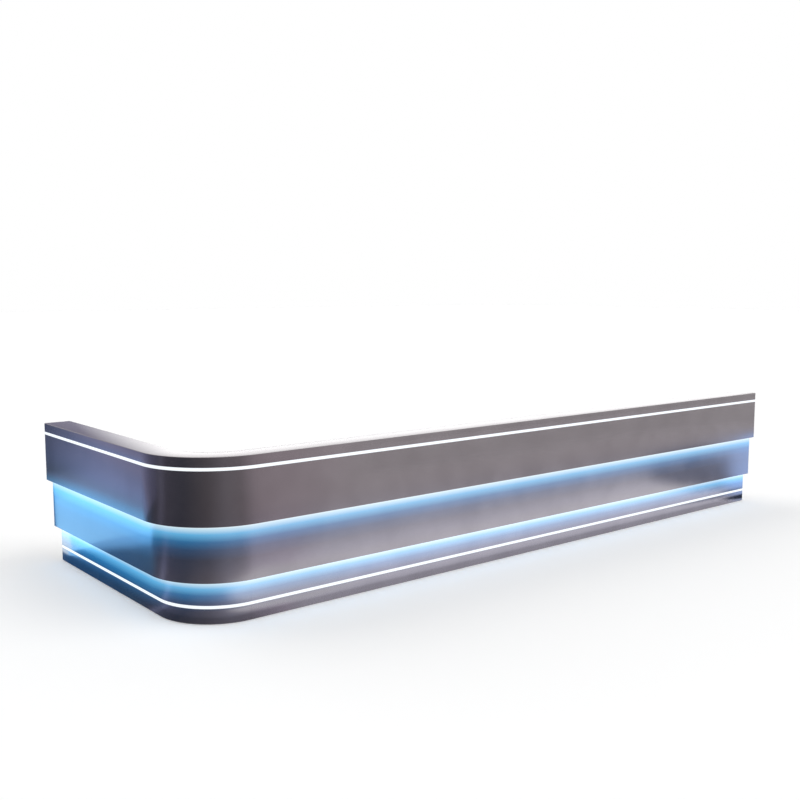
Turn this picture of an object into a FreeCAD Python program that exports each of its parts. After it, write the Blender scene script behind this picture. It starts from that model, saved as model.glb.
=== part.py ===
"""Bar counter: an L-shaped service counter with a rounded outer corner.

A hollow timber wall steps in twice towards the floor. Its upper fascia, middle band and base are lacquered
panels, with a light line let into the fascia and the base and a lit cove under each step. A narrow ledge caps
the wall. On the staff side a lower worktop runs along both arms over a cupboard, a drawer pedestal and two
open shelf units, with two knee spaces between them.

The origin is on the floor, at the centre of the counter's plan. +X runs along the front arm, away from the
corner, and +Y from the customers' side to the staff side. In the code u and v are measured from the outer
faces of the side arm and of the front arm; along one arm s is the place along the wall, t is how far in from
its outer face, and z is the height.
"""
import FreeCAD, Part
import math
import os

# Overall form, in millimetres
LENGTH = 6220.0
WIDTH = 2265.0
HEIGHT = 1100.0
CORNER_RADIUS = 530.0
WALL_DEPTH = 200.0

# Bands of the customers' side, from the floor up
BASE_HEIGHT = 285.0
MIDDLE_HEIGHT = 372.0
CAP_EDGE = 66.0
MIDDLE_STEP = 46.0
BASE_STEP = 54.0
PANEL = 18.0
CAP_BOARD = 25.0
FLOOR_GAP = 4.0
EDGE_ROUND = 1.5

# Light lines let into the fascia and the base, and the lit coves under the steps
LINE_HEIGHT = 21.0
LINE_DEPTH = 12.0
BASE_LINE_RISE = 103.5
CHANNEL_WALL = 1.5
LENS_FACE = 2.0
LENS_TONGUE = 3.0
TAPE_WIDTH = 10.0
TAPE_THICKNESS = 1.0
COVE_HEIGHT = 42.0
COVE_CHANNEL_WIDTH = 16.0
COVE_CHANNEL_HEIGHT = 9.0

# Timber frame inside the wall
RIB_SPACING = 700.0
SOLE_RISE = 22.0
CABLE_HOLE_RADIUS = 20.0
CABLE_HOLE_RISE = 130.0
FOOT_PAD_RADIUS = 22.0
FOOT_PAD_HEIGHT = 9.0
FOOT_STEM_RADIUS = 5.0
FOOT_STEM_REACH = 14.0
FOOT_NUT_RADIUS = 9.0
FOOT_NUT_HEIGHT = 6.0
FOOT_INSET = 90.0
FOOT_SPACING = 850.0

# Worktop on the staff side
WORK_HEIGHT = 750.0
WORK_BOARD = 25.0
WORK_DEPTH = 520.0
BATTEN_WIDTH = 30.0
BATTEN_HEIGHT = 45.0
GROMMET_BORE = 27.0
GROMMET_WALL = 3.0
GROMMET_FLANGE = 8.0
GROMMET_FLANGE_THICKNESS = 3.0
GROMMET_INSET = 80.0

# Units under the worktop
SERVICE_GAP = 45.0
WORK_OVERHANG = 20.0
KICK_HEIGHT = 100.0
KICK_INSET = 50.0
UNIT_BACK = 6.0
RAIL_WIDTH = 80.0
SHELF_SETBACK = 30.0
SHELF_RISE = 300.0
CORNER_FILLER = 80.0
CUPBOARD_WIDTH = 680.0
PEDESTAL_WIDTH = 450.0
SHELF_UNIT_WIDTH = 1450.0
GLIDE_RADIUS = 7.0
GLIDE_INSET = 60.0

# Drawers
FRONT_GAP = 3.0
TOP_FRONT_HEIGHT = 140.0
MIDDLE_FRONT_HEIGHT = 190.0
BOX_BOARD = 12.0
BOX_BOTTOM = 6.0
BOX_BOTTOM_RISE = 10.0
BOX_CLEARANCE = 20.0
BOX_BACK_CLEARANCE = 15.0
RUNNER_WIDTH = 13.0
RUNNER_HEIGHT = 35.0
RUNNER_REACH = 10.0
RUNNER_GAUGE = 1.2
RUNNER_RISE = 40.0

# Doors
PIVOT_INSET = 12.0
PIVOT_BACK = 7.0
PIVOT_RADIUS = 4.0
PIVOT_DEPTH = 20.0
PIVOT_COLLAR = 8.0

# Bar handles
HANDLE_LENGTH = 160.0
HANDLE_WIDTH = 12.0
HANDLE_THICKNESS = 8.0
HANDLE_STANDOFF = 26.0
HANDLE_POST_RADIUS = 5.0
HANDLE_POST_INSET = 16.0
DOOR_HANDLE_INSET = 45.0
DOOR_HANDLE_DROP = 70.0

# Light switch, mains entry and the light drivers
PLATE_SIDE = 86.0
PLATE_THICKNESS = 9.0
PLATE_ROUND = 4.0
SWITCH_BOX_DEPTH = 30.0
SWITCH_BOX_WALL = 6.0
ROCKER_WIDTH = 40.0
ROCKER_HEIGHT = 62.0
ROCKER_THICKNESS = 9.0
ROCKER_PROUD = 1.5
ROCKER_TILT = 5.0
ROCKER_PLAY = 1.0
TRUNNION_RADIUS = 2.0
TRUNNION_LENGTH = 3.0
MAINS_BORE = 12.0
MAINS_WALL = 3.0
MAINS_FLANGE = 6.0
MAINS_FLANGE_THICKNESS = 3.0
MAINS_RISE = 70.0
DRIVER_LENGTH = 220.0
DRIVER_HEIGHT = 68.0
DRIVER_THICKNESS = 39.0
DRIVER_GAP = 40.0
HATCH_LENGTH = 300.0
HATCH_HEIGHT = 240.0
HATCH_LAP = 20.0
HATCH_THICKNESS = 6.0
HATCH_DROP = 70.0
SCREW_HEAD_RADIUS = 4.0
SCREW_HEAD_HEIGHT = 2.0
SCREW_RADIUS = 1.8
SCREW_LENGTH = 14.0

# Clearances
FIT = 0.3
RUNNING = 0.05

# Levels and depths that follow from the sizes above
FASCIA_BOTTOM = BASE_HEIGHT + MIDDLE_HEIGHT
CAP_BOTTOM = HEIGHT - CAP_EDGE
CAP_UNDERSIDE = HEIGHT - CAP_BOARD
UPPER_SEAT = FASCIA_BOTTOM + COVE_HEIGHT + PANEL
LOWER_SEAT = BASE_HEIGHT + COVE_HEIGHT + PANEL
MIDDLE_FACE = MIDDLE_STEP
BASE_FACE = MIDDLE_STEP + BASE_STEP
LINING_FACE = WALL_DEPTH - PANEL
SOLE_TOP = SOLE_RISE + PANEL
WORK_UNDERSIDE = WORK_HEIGHT - WORK_BOARD
WORK_FRONT = WALL_DEPTH + WORK_DEPTH
UNIT_BACK_FACE = WALL_DEPTH + SERVICE_GAP
UNIT_FRONT = WORK_FRONT - WORK_OVERHANG
UNIT_FLOOR = KICK_HEIGHT + PANEL
UNIT_CEILING = WORK_UNDERSIDE - PANEL
CUPBOARD_START = WORK_FRONT + CORNER_FILLER
CUPBOARD_END = CUPBOARD_START + CUPBOARD_WIDTH
KNEE_WIDTH = (LENGTH - CUPBOARD_END - PEDESTAL_WIDTH - SHELF_UNIT_WIDTH) / 2
PEDESTAL_START = CUPBOARD_END + KNEE_WIDTH
PEDESTAL_END = PEDESTAL_START + PEDESTAL_WIDTH
SHELVES_START = PEDESTAL_END + KNEE_WIDTH
STATIONS = (CUPBOARD_END + KNEE_WIDTH / 2, PEDESTAL_END + KNEE_WIDTH / 2)
WORK_JOINT = (PEDESTAL_START + PEDESTAL_END) / 2
ARM_LENGTH = {"front": LENGTH, "side": WIDTH}


def at(u, v, z):
    """Point in the counter's frame, from distances to the outer faces of the two arms."""
    return FreeCAD.Vector(u - LENGTH / 2, v - WIDTH / 2, z)


def on_arm(arm, s, t, z):
    """Point on one arm: s along the wall, t in from its outer face."""
    return at(s, t, z) if arm == "front" else at(t, s, z)


def board(arm, s, t, z):
    """Rectangular board on one arm, from its ranges along the wall, into it and up."""
    low = on_arm(arm, s[0], t[0], z[0])
    high = on_arm(arm, s[1], t[1], z[1])
    return Part.makeBox(high.x - low.x, high.y - low.y, high.z - low.z, low)


def eased(solid):
    """The same board with every edge rounded, by no more than its thickness allows."""
    thickness = min(solid.BoundBox.XLength, solid.BoundBox.YLength, solid.BoundBox.ZLength)
    return solid.makeFillet(min(EDGE_ROUND, thickness / 3), solid.Edges)


def round_bar(arm, along, radius, s, t, z):
    """Cylinder along one of an arm's directions, from the range that is given as a pair."""
    place = {"s": s, "t": t, "z": z}
    low, high = place[along]
    start = on_arm(arm, *[low if key == along else place[key] for key in "stz"])
    end = on_arm(arm, *[high if key == along else place[key] for key in "stz"])
    return Part.makeCylinder(radius, high - low, start, end - start)


def outline_edges(points):
    """Closed outline through 3-D points, each with a corner radius of zero or more."""
    corners = []
    for i, (here, radius) in enumerate(points):
        before = (points[i - 1][0] - here).normalize()
        after = (points[(i + 1) % len(points)][0] - here).normalize()
        if radius == 0:
            corners.append((here, None, here))
            continue
        half = before.getAngle(after) / 2
        bisector = (before + after).normalize()
        setback = radius / math.tan(half)
        middle = here + bisector * (radius / math.sin(half) - radius)
        corners.append((here + before * setback, middle, here + after * setback))
    edges = []
    for i, (start, middle, end) in enumerate(corners):
        if middle is not None:
            edges.append(Part.Arc(start, middle, end).toShape())
        edges.append(Part.LineSegment(end, corners[(i + 1) % len(corners)][0]).toShape())
    return edges


def section(points, place):
    """Flat face from (t, z) or (t, z, corner radius) points, put in space by place(t, z)."""
    placed = [(place(p[0], p[1]), p[2] if len(p) > 2 else 0) for p in points]
    return Part.Face(Part.Wire(outline_edges(placed)))


def straight(arm, points, s):
    """Section in (t, z) carried straight along one arm over the range s."""
    face = section(points, lambda t, z: on_arm(arm, s[0], t, z))
    return face.extrude(on_arm(arm, s[1], 0, 0) - on_arm(arm, s[0], 0, 0))


def corner(points):
    """Section in (t, z) turned a quarter round the outer corner, from the side arm to the front arm."""
    face = section(points, lambda t, z: at(t, CORNER_RADIUS, z))
    return face.revolve(at(CORNER_RADIUS, CORNER_RADIUS, 0), FreeCAD.Vector(0, 0, 1), 90)


def band(points):
    """The three lengths of one section: along the front arm, round the corner and along the side arm."""
    front = straight("front", points, (CORNER_RADIUS, LENGTH))
    side = straight("side", points, (CORNER_RADIUS, WIDTH))
    return {"front": front, "corner": corner(points), "side": side}


def rectangle(t, z, rounds=(0, 0, 0, 0)):
    """Rectangular section, with corner radii in the order low outer, low inner, high inner, high outer."""
    corners = [(t[0], z[0]), (t[1], z[0]), (t[1], z[1]), (t[0], z[1])]
    return [(*c, r) for c, r in zip(corners, rounds)]


def fascia_section():
    """Upper fascia: a panel with a rebate at its top outer edge for the light line."""
    line_bottom = CAP_BOTTOM - LINE_HEIGHT
    rebate = LINE_DEPTH + FIT
    return [(0, FASCIA_BOTTOM, EDGE_ROUND), (PANEL, FASCIA_BOTTOM, EDGE_ROUND), (PANEL, CAP_BOTTOM),
            (rebate, CAP_BOTTOM), (rebate, line_bottom), (0, line_bottom)]


def middle_section():
    """Middle band, which runs up behind the fascia to the cove's ceiling."""
    t = (MIDDLE_FACE, MIDDLE_FACE + PANEL)
    return rectangle(t, (BASE_HEIGHT, UPPER_SEAT), (EDGE_ROUND, EDGE_ROUND, 0, 0))


def base_section():
    """Base panel, with a groove for the lower light line."""
    inner = BASE_FACE + PANEL
    groove = BASE_FACE + LINE_DEPTH + FIT
    line_top = BASE_LINE_RISE + LINE_HEIGHT
    return [(BASE_FACE, FLOOR_GAP, EDGE_ROUND), (inner, FLOOR_GAP), (inner, LOWER_SEAT),
            (BASE_FACE, LOWER_SEAT), (BASE_FACE, line_top), (groove, line_top), (groove, BASE_LINE_RISE),
            (BASE_FACE, BASE_LINE_RISE)]


def cap_section():
    """Ledge: a board with a deep nose at its outer edge."""
    return [(0, CAP_BOTTOM), (PANEL, CAP_BOTTOM), (PANEL, CAP_UNDERSIDE),
            (WALL_DEPTH, CAP_UNDERSIDE, EDGE_ROUND), (WALL_DEPTH, HEIGHT, EDGE_ROUND),
            (0, HEIGHT, 2 * EDGE_ROUND)]


def skins():
    """Lacquered panels that the customers see, each in three lengths."""
    sections = {"upper_fascia": fascia_section(), "middle_panel": middle_section(),
                "base_panel": base_section(), "ledge_cap": cap_section()}
    return {f"{name}_{length}": [solid] for name, points in sections.items()
            for length, solid in band(points).items()}


def wall_outline(bottom):
    """Stepped section of the space between the panels and the staff lining."""
    return [(BASE_FACE + PANEL, bottom), (LINING_FACE, bottom), (LINING_FACE, CAP_UNDERSIDE),
            (PANEL, CAP_UNDERSIDE), (PANEL, UPPER_SEAT), (MIDDLE_FACE + PANEL, UPPER_SEAT),
            (MIDDLE_FACE + PANEL, LOWER_SEAT), (BASE_FACE + PANEL, LOWER_SEAT)]


def rib_places(arm):
    """Where each rib starts along an arm: one at the end of the curve, the rest evenly to the end panel."""
    first = CORNER_RADIUS
    last = ARM_LENGTH[arm] - PANEL
    count = math.ceil((last - first) / RIB_SPACING)
    return [first + i * (last - first) / count for i in range(count)]


def wall_ribs():
    """Stepped ribs across the wall, holed for the light cables, and curved formers at the corner."""
    middle = (PANEL + LINING_FACE) / 2
    level = UPPER_SEAT + CABLE_HOLE_RISE
    solids = []
    for arm in ("front", "side"):
        for s in rib_places(arm):
            rib = straight(arm, wall_outline(SOLE_TOP), (s, s + PANEL))
            hole = round_bar(arm, "s", CABLE_HOLE_RADIUS, (s, s + PANEL), middle, level)
            solids.append(rib.cut(hole).Solids[0])
    half_way = (LOWER_SEAT + UPPER_SEAT) / 2
    formers = [(PANEL, CAP_UNDERSIDE - PANEL), (PANEL, UPPER_SEAT), (MIDDLE_FACE + PANEL, half_way),
               (MIDDLE_FACE + PANEL, LOWER_SEAT)]
    for face, z in formers:
        solids.append(corner(rectangle((face + FIT, LINING_FACE - FIT), (z, z + PANEL))))
    return solids


def end_panels():
    """Stepped panels that close the two ends of the wall."""
    shape = wall_outline(FLOOR_GAP)
    return {"right_end_panel": [straight("front", shape, (LENGTH - PANEL, LENGTH))],
            "side_end_panel": [straight("side", shape, (WIDTH - PANEL, WIDTH))]}


def foot_places(arm):
    """Where the levelling feet stand along an arm, clear of its ends."""
    first = CORNER_RADIUS + FOOT_INSET
    last = ARM_LENGTH[arm] - PANEL - FOOT_INSET
    count = math.ceil((last - first) / FOOT_SPACING)
    return [first + i * (last - first) / count for i in range(count + 1)]


def sole_middle():
    """How far in from the outer face the sole plate's centre line runs."""
    return (BASE_FACE + PANEL + LINING_FACE) / 2


def sole_plates():
    """Plates under the ribs, drilled for the feet."""
    t = (BASE_FACE + PANEL, LINING_FACE)
    z = (SOLE_RISE, SOLE_TOP)
    plates = []
    for arm in ("front", "side"):
        plate = board(arm, (CORNER_RADIUS, ARM_LENGTH[arm] - PANEL), t, z)
        for s in foot_places(arm):
            plate = plate.cut(round_bar(arm, "z", FOOT_STEM_RADIUS + FIT, s, sole_middle(), z))
        plates.append(plate.Solids[0])
    plates.append(corner(rectangle((t[0] + FIT, t[1] - FIT), z)))
    return plates


def levelling_feet():
    """Pad, lock nut and stem of each foot, turned as one, with the nut under the sole plate."""
    nut_top = SOLE_RISE
    nut_bottom = nut_top - FOOT_NUT_HEIGHT
    stem_top = SOLE_TOP + FOOT_STEM_REACH
    profile = [(0, 0), (FOOT_PAD_RADIUS, 0), (FOOT_PAD_RADIUS, FOOT_PAD_HEIGHT / 2),
               (FOOT_NUT_RADIUS, FOOT_PAD_HEIGHT), (FOOT_STEM_RADIUS, FOOT_PAD_HEIGHT),
               (FOOT_STEM_RADIUS, nut_bottom), (FOOT_NUT_RADIUS, nut_bottom), (FOOT_NUT_RADIUS, nut_top),
               (FOOT_STEM_RADIUS, nut_top), (FOOT_STEM_RADIUS, stem_top), (0, stem_top)]
    feet = []
    for arm in ("front", "side"):
        for s in foot_places(arm):
            centre = on_arm(arm, s, sole_middle(), 0)
            face = section(profile, lambda r, z, c=centre: c + FreeCAD.Vector(r, 0, z))
            feet.append(face.revolve(centre, FreeCAD.Vector(0, 0, 1), 360))
    return feet


def line_light(face, bottom):
    """Sections of one light line: channel, lens and tape, sunk in from face, standing on bottom."""
    low, high = bottom + FIT, bottom + LINE_HEIGHT - FIT
    mouth, back = face + LENS_FACE + FIT, face + LINE_DEPTH
    in_low, in_high = low + CHANNEL_WALL, high - CHANNEL_WALL
    floor = back - CHANNEL_WALL
    channel = [(mouth, low), (back, low), (back, high), (mouth, high), (mouth, in_high), (floor, in_high),
               (floor, in_low), (mouth, in_low)]
    tongue = face + LENS_FACE + LENS_TONGUE
    lens_back = face + LENS_FACE
    lens = [(face, low), (lens_back, low), (lens_back, in_low + FIT), (tongue, in_low + FIT),
            (tongue, in_high - FIT), (lens_back, in_high - FIT), (lens_back, high), (face, high)]
    centre = (low + high) / 2
    tape_back = floor - FIT
    tape_z = (centre - TAPE_WIDTH / 2, centre + TAPE_WIDTH / 2)
    tape = rectangle((tape_back - TAPE_THICKNESS, tape_back), tape_z)
    return channel, lens, tape


def cove_light(centre, ceiling):
    """Sections of one cove light, which faces down from the ceiling: channel, lens and tape."""
    low, high = centre - COVE_CHANNEL_WIDTH / 2, centre + COVE_CHANNEL_WIDTH / 2
    mouth = ceiling - COVE_CHANNEL_HEIGHT
    in_low, in_high = low + CHANNEL_WALL, high - CHANNEL_WALL
    roof = ceiling - CHANNEL_WALL
    channel = [(low, mouth), (in_low, mouth), (in_low, roof), (in_high, roof), (in_high, mouth),
               (high, mouth), (high, ceiling), (low, ceiling)]
    face, seat, tongue = mouth - FIT - LENS_FACE, mouth - FIT, mouth - FIT + LENS_TONGUE
    lens = [(low, face), (high, face), (high, seat), (in_high - FIT, seat), (in_high - FIT, tongue),
            (in_low + FIT, tongue), (in_low + FIT, seat), (low, seat)]
    tape_top = roof - FIT
    tape_t = (centre - TAPE_WIDTH / 2, centre + TAPE_WIDTH / 2)
    tape = rectangle(tape_t, (tape_top - TAPE_THICKNESS, tape_top))
    return channel, lens, tape


def lights():
    """Light lines and cove lights with the soffits that carry the cove lights, each in three lengths."""
    lines = [line_light(0, CAP_BOTTOM - LINE_HEIGHT), line_light(BASE_FACE, BASE_LINE_RISE)]
    upper_slot = (PANEL, MIDDLE_FACE)
    lower_slot = (MIDDLE_FACE + PANEL, BASE_FACE)
    ceilings = (UPPER_SEAT - PANEL, LOWER_SEAT - PANEL)
    coves = [cove_light(sum(slot) / 2, z) for slot, z in zip((upper_slot, lower_slot), ceilings)]
    soffits = [rectangle((slot[0] + FIT, slot[1] - FIT), (z, z + PANEL))
               for slot, z in zip((upper_slot, lower_slot), ceilings)]
    groups = {"led_channels": [channel for channel, lens, tape in lines + coves],
              "line_light_lenses": [lens for channel, lens, tape in lines],
              "cove_light_lenses": [lens for channel, lens, tape in coves],
              "led_tapes": [tape for channel, lens, tape in lines + coves], "cove_soffits": soffits}
    return {name: [solid for points in sections for solid in band(points).values()]
            for name, sections in groups.items()}


def between_ribs(s):
    """Middle of the clear space between two ribs of the front arm that holds the place s."""
    ribs = rib_places("front") + [LENGTH - PANEL]
    left = max(rib for rib in ribs if rib <= s)
    right = min(rib for rib in ribs if rib > s)
    return (left + PANEL + right) / 2


def mains_place():
    """Place along the front arm and height of the hole for the mains cable, in the second knee space."""
    return between_ribs(STATIONS[1]), MAINS_RISE


def hatch_opening():
    """Ranges along the front arm and up of the hole that the driver hatch covers, below the batten."""
    middle = between_ribs(STATIONS[1])
    top = WORK_UNDERSIDE - BATTEN_HEIGHT - HATCH_DROP
    return (middle - HATCH_LENGTH / 2, middle + HATCH_LENGTH / 2), (top - HATCH_HEIGHT, top)


def switch_place():
    """Place along the front arm and height of the switch, half-way from the worktop to the ledge."""
    return between_ribs(CUPBOARD_END), (WORK_HEIGHT + CAP_UNDERSIDE) / 2


def switch_box_ranges(clearance=0.0):
    """Ranges along the front arm and up of the box behind the switch plate."""
    s, z = switch_place()
    half_s = ROCKER_WIDTH / 2 + SWITCH_BOX_WALL + clearance
    half_z = ROCKER_HEIGHT / 2 + SWITCH_BOX_WALL + clearance
    return (s - half_s, s + half_s), (z - half_z, z + half_z)


def hatch_screw_places():
    """Places along the front arm and heights of the four hatch screws, in the hatch's lap."""
    s, z = hatch_opening()
    out = HATCH_LAP / 2
    return [(a, b) for a in (s[0] - out, s[1] + out) for b in (z[0] - out, z[1] + out)]


def staff_lining():
    """Boards that close the wall on the staff side, cut for the mains cable, the hatch and the switch."""
    sections = band(rectangle((LINING_FACE, WALL_DEPTH), (FLOOR_GAP, CAP_UNDERSIDE)))
    through = (LINING_FACE, WALL_DEPTH)
    s, z = mains_place()
    cuts = [round_bar("front", "t", MAINS_BORE + MAINS_WALL + RUNNING, s, through, z)]
    cuts.append(board("front", hatch_opening()[0], through, hatch_opening()[1]))
    box_s, box_z = switch_box_ranges(FIT)
    cuts.append(board("front", box_s, through, box_z))
    pilot = (WALL_DEPTH - SCREW_LENGTH, WALL_DEPTH)
    for a, b in hatch_screw_places():
        cuts.append(round_bar("front", "t", SCREW_RADIUS + RUNNING, a, pilot, b))
    front = sections["front"]
    for tool in cuts:
        front = front.cut(tool)
    return [front.Solids[0], sections["corner"], sections["side"]]


def driver_hatch():
    """Thin cover over the opening to the light drivers, and its screws."""
    s, z = hatch_opening()
    t = (WALL_DEPTH, WALL_DEPTH + HATCH_THICKNESS)
    cover_s, cover_z = [(low - HATCH_LAP, high + HATCH_LAP) for low, high in (s, z)]
    cover = eased(board("front", cover_s, t, cover_z))
    screws = []
    for a, b in hatch_screw_places():
        cover = cover.cut(round_bar("front", "t", SCREW_RADIUS + RUNNING, a, t, b))
        shank = round_bar("front", "t", SCREW_RADIUS, a, (t[1] - SCREW_LENGTH, t[1]), b)
        head = round_bar("front", "t", SCREW_HEAD_RADIUS, a, (t[1], t[1] + SCREW_HEAD_HEIGHT), b)
        screws.append(shank.fuse(head).removeSplitter().Solids[0])
    return {"driver_hatch": [cover.Solids[0]], "hatch_screws": screws}


def led_drivers():
    """Two light drivers, one over the other on the inner face of the hatch cover."""
    s, z = hatch_opening()
    start = (s[0] + s[1] - DRIVER_LENGTH) / 2
    middle = (z[0] + z[1]) / 2
    t = (WALL_DEPTH - DRIVER_THICKNESS, WALL_DEPTH)
    length = (start, start + DRIVER_LENGTH)
    bottoms = (middle - DRIVER_GAP / 2 - DRIVER_HEIGHT, middle + DRIVER_GAP / 2)
    return [eased(board("front", length, t, (low, low + DRIVER_HEIGHT))) for low in bottoms]


def flanged_bush(base, axis, bore, wall, depth, flange, flange_thickness):
    """Tube in a hole of that depth below base, with a flange on top; axis points out of the hole."""
    outside = bore + wall
    tube = Part.makeCylinder(outside, depth + flange_thickness, base - axis * depth, axis)
    rim = Part.makeCylinder(outside + flange, flange_thickness, base, axis)
    inside = Part.makeCylinder(bore, depth + flange_thickness, base - axis * depth, axis)
    return tube.fuse(rim).cut(inside).removeSplitter().Solids[0]


def grommet_place(station):
    """Place along the front arm and into it of a worktop grommet."""
    return station, WALL_DEPTH + GROMMET_INSET


def cable_bushes():
    """Grommets in the worktop at the two stations, and the bush round the mains cable's hole."""
    up, out = FreeCAD.Vector(0, 0, 1), FreeCAD.Vector(0, 1, 0)
    bushes = []
    for station in STATIONS:
        s, t = grommet_place(station)
        bushes.append(flanged_bush(at(s, t, WORK_HEIGHT), up, GROMMET_BORE, GROMMET_WALL, WORK_BOARD,
                                   GROMMET_FLANGE, GROMMET_FLANGE_THICKNESS))
    s, z = mains_place()
    bushes.append(flanged_bush(at(s, WALL_DEPTH, z), out, MAINS_BORE, MAINS_WALL, PANEL, MAINS_FLANGE,
                               MAINS_FLANGE_THICKNESS))
    return bushes


def light_switch():
    """Square switch plate with a box behind it, and a rocker on two trunnions, tilted to its on side."""
    s, z = switch_place()
    face = WALL_DEPTH + PLATE_THICKNESS
    half = PLATE_SIDE / 2
    plate = board("front", (s - half, s + half), (WALL_DEPTH, face), (z - half, z + half))
    corners = [e for e in plate.Edges if abs(e.tangentAt(e.FirstParameter).y) > 0.5]
    plate = plate.makeFillet(PLATE_ROUND, corners)
    rim = [e for e in plate.Edges if e.BoundBox.YMin > at(0, face, 0).y - FIT]
    plate = plate.makeFillet(EDGE_ROUND, rim)
    box_s, box_z = switch_box_ranges()
    back = WALL_DEPTH - SWITCH_BOX_DEPTH
    plate = plate.fuse(board("front", box_s, (back, WALL_DEPTH), box_z))
    well_s = (s - ROCKER_WIDTH / 2, s + ROCKER_WIDTH / 2)
    well_z = (z - ROCKER_HEIGHT / 2, z + ROCKER_HEIGHT / 2)
    plate = plate.cut(board("front", well_s, (back + SWITCH_BOX_WALL, face), well_z))
    axis_t = switch_axis_depth()
    reach = ROCKER_WIDTH / 2 + TRUNNION_LENGTH
    socket = (s - reach - FIT, s + reach + FIT)
    plate = plate.cut(round_bar("front", "s", TRUNNION_RADIUS + RUNNING, socket, axis_t, z)).removeSplitter()
    rocker_s = (well_s[0] + FIT, well_s[1] - FIT)
    rocker_z = (well_z[0] + ROCKER_PLAY, well_z[1] - ROCKER_PLAY)
    front = face + ROCKER_PROUD
    rocker = eased(board("front", rocker_s, (front - ROCKER_THICKNESS, front), rocker_z))
    trunnions = round_bar("front", "s", TRUNNION_RADIUS, (s - reach, s + reach), axis_t, z)
    rocker = rocker.fuse(trunnions).removeSplitter()
    rocker.rotate(at(s, axis_t, z), FreeCAD.Vector(1, 0, 0), ROCKER_TILT)
    return {"switch_plate": [plate.Solids[0]], "switch_rocker": [rocker.Solids[0]]}


def switch_axis_depth():
    """How far in from the outer face the rocker's axis lies."""
    return WALL_DEPTH + PLATE_THICKNESS + ROCKER_PROUD - ROCKER_THICKNESS / 2


def worktops():
    """Worktop boards: one round the inner corner, two along the front arm and one along the side arm."""
    z = (WORK_UNDERSIDE, WORK_HEIGHT)
    t = (WALL_DEPTH, WORK_FRONT)
    pieces = {"worktop_front_left": (CUPBOARD_START, WORK_JOINT), "worktop_front_right": (WORK_JOINT, LENGTH)}
    nodes = {}
    for (name, s), station in zip(pieces.items(), STATIONS):
        place = grommet_place(station)
        drill = round_bar("front", "z", GROMMET_BORE + GROMMET_WALL + RUNNING, *place, z)
        nodes[name] = [eased(board("front", s, t, z)).cut(drill).Solids[0]]
    nodes["worktop_side"] = [eased(board("side", (CUPBOARD_START, WIDTH), t, z))]
    edge = WALL_DEPTH + FIT
    plan = [(edge, edge, CORNER_RADIUS - edge), (CUPBOARD_START, edge), (CUPBOARD_START, WORK_FRONT),
            (WORK_FRONT, WORK_FRONT), (WORK_FRONT, CUPBOARD_START), (edge, CUPBOARD_START)]
    face = section(plan, lambda u, v: at(u, v, WORK_UNDERSIDE))
    nodes["worktop_corner"] = [eased(face.extrude(FreeCAD.Vector(0, 0, WORK_BOARD)))]
    return nodes


def worktop_battens():
    """Battens on the lining that carry the worktop's back edge in the knee spaces and along the units."""
    t = (WALL_DEPTH, WALL_DEPTH + BATTEN_WIDTH)
    z = (WORK_UNDERSIDE - BATTEN_HEIGHT, WORK_UNDERSIDE)
    return [board(arm, (CORNER_RADIUS, ARM_LENGTH[arm] - PANEL), t, z) for arm in ("front", "side")]


def unit_carcass(arm, uprights):
    """Boards of one unit: uprights to the floor, a bottom, two top rails and a thin back in each bay.

    The upright that closes the arm's end reaches the wall; the others leave the service gap free.
    """
    t = (UNIT_BACK_FACE, UNIT_FRONT)
    height = (FLOOR_GAP, WORK_UNDERSIDE)
    closing = ARM_LENGTH[arm] - PANEL - FIT
    boards = []
    for s in uprights:
        back = WALL_DEPTH if s > closing else t[0]
        boards.append(board(arm, (s, s + PANEL), (back, t[1]), height))
    for left, right in zip(uprights[:-1], uprights[1:]):
        bay = (left + PANEL, right)
        boards.append(board(arm, bay, t, (KICK_HEIGHT, UNIT_FLOOR)))
        boards.append(board(arm, bay, (t[1] - RAIL_WIDTH, t[1]), (UNIT_CEILING, WORK_UNDERSIDE)))
        boards.append(board(arm, bay, (t[0], t[0] + RAIL_WIDTH), (UNIT_CEILING, WORK_UNDERSIDE)))
        boards.append(board(arm, bay, (t[0], t[0] + UNIT_BACK), (UNIT_FLOOR, UNIT_CEILING)))
    return boards


def unit_uprights(start, end, bays):
    """Where the uprights of a unit start, for that many equal bays."""
    step = (end - start - PANEL) / bays
    return [start + i * step for i in range(bays + 1)]


def units():
    """Arm and uprights of each unit under the worktop."""
    return {"cupboard_carcass": ("front", unit_uprights(CUPBOARD_START, CUPBOARD_END, 1)),
            "pedestal_carcass": ("front", unit_uprights(PEDESTAL_START, PEDESTAL_END, 1)),
            "shelf_unit_carcass": ("front", unit_uprights(SHELVES_START, LENGTH, 2)),
            "side_unit_carcass": ("side", unit_uprights(CUPBOARD_START, WIDTH, 2))}


def bays(name):
    """Arm and clear range along the wall of each bay of one unit."""
    arm, uprights = units()[name]
    return [(arm, (left + PANEL, right)) for left, right in zip(uprights[:-1], uprights[1:])]


def carcasses():
    """The four units, with the cupboard drilled for its door pivots."""
    nodes = {}
    for name, (arm, uprights) in units().items():
        nodes[name] = unit_carcass(arm, uprights)
    drilled = []
    for solid in nodes["cupboard_carcass"]:
        for side in ("left", "right"):
            for z in pivot_seats():
                solid = solid.cut(round_bar("front", "z", PIVOT_RADIUS + RUNNING, *pivot_place(side), z))
        drilled.append(solid.Solids[0])
    nodes["cupboard_carcass"] = drilled
    return nodes


def unit_shelves():
    """One fixed shelf in each bay of the cupboard and of the two open units."""
    z = (UNIT_FLOOR + SHELF_RISE, UNIT_FLOOR + SHELF_RISE + PANEL)
    t = (UNIT_BACK_FACE + UNIT_BACK, UNIT_FRONT - SHELF_SETBACK)
    return [board(arm, s, t, z) for name in ("cupboard_carcass", "shelf_unit_carcass", "side_unit_carcass")
            for arm, s in bays(name)]


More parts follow.
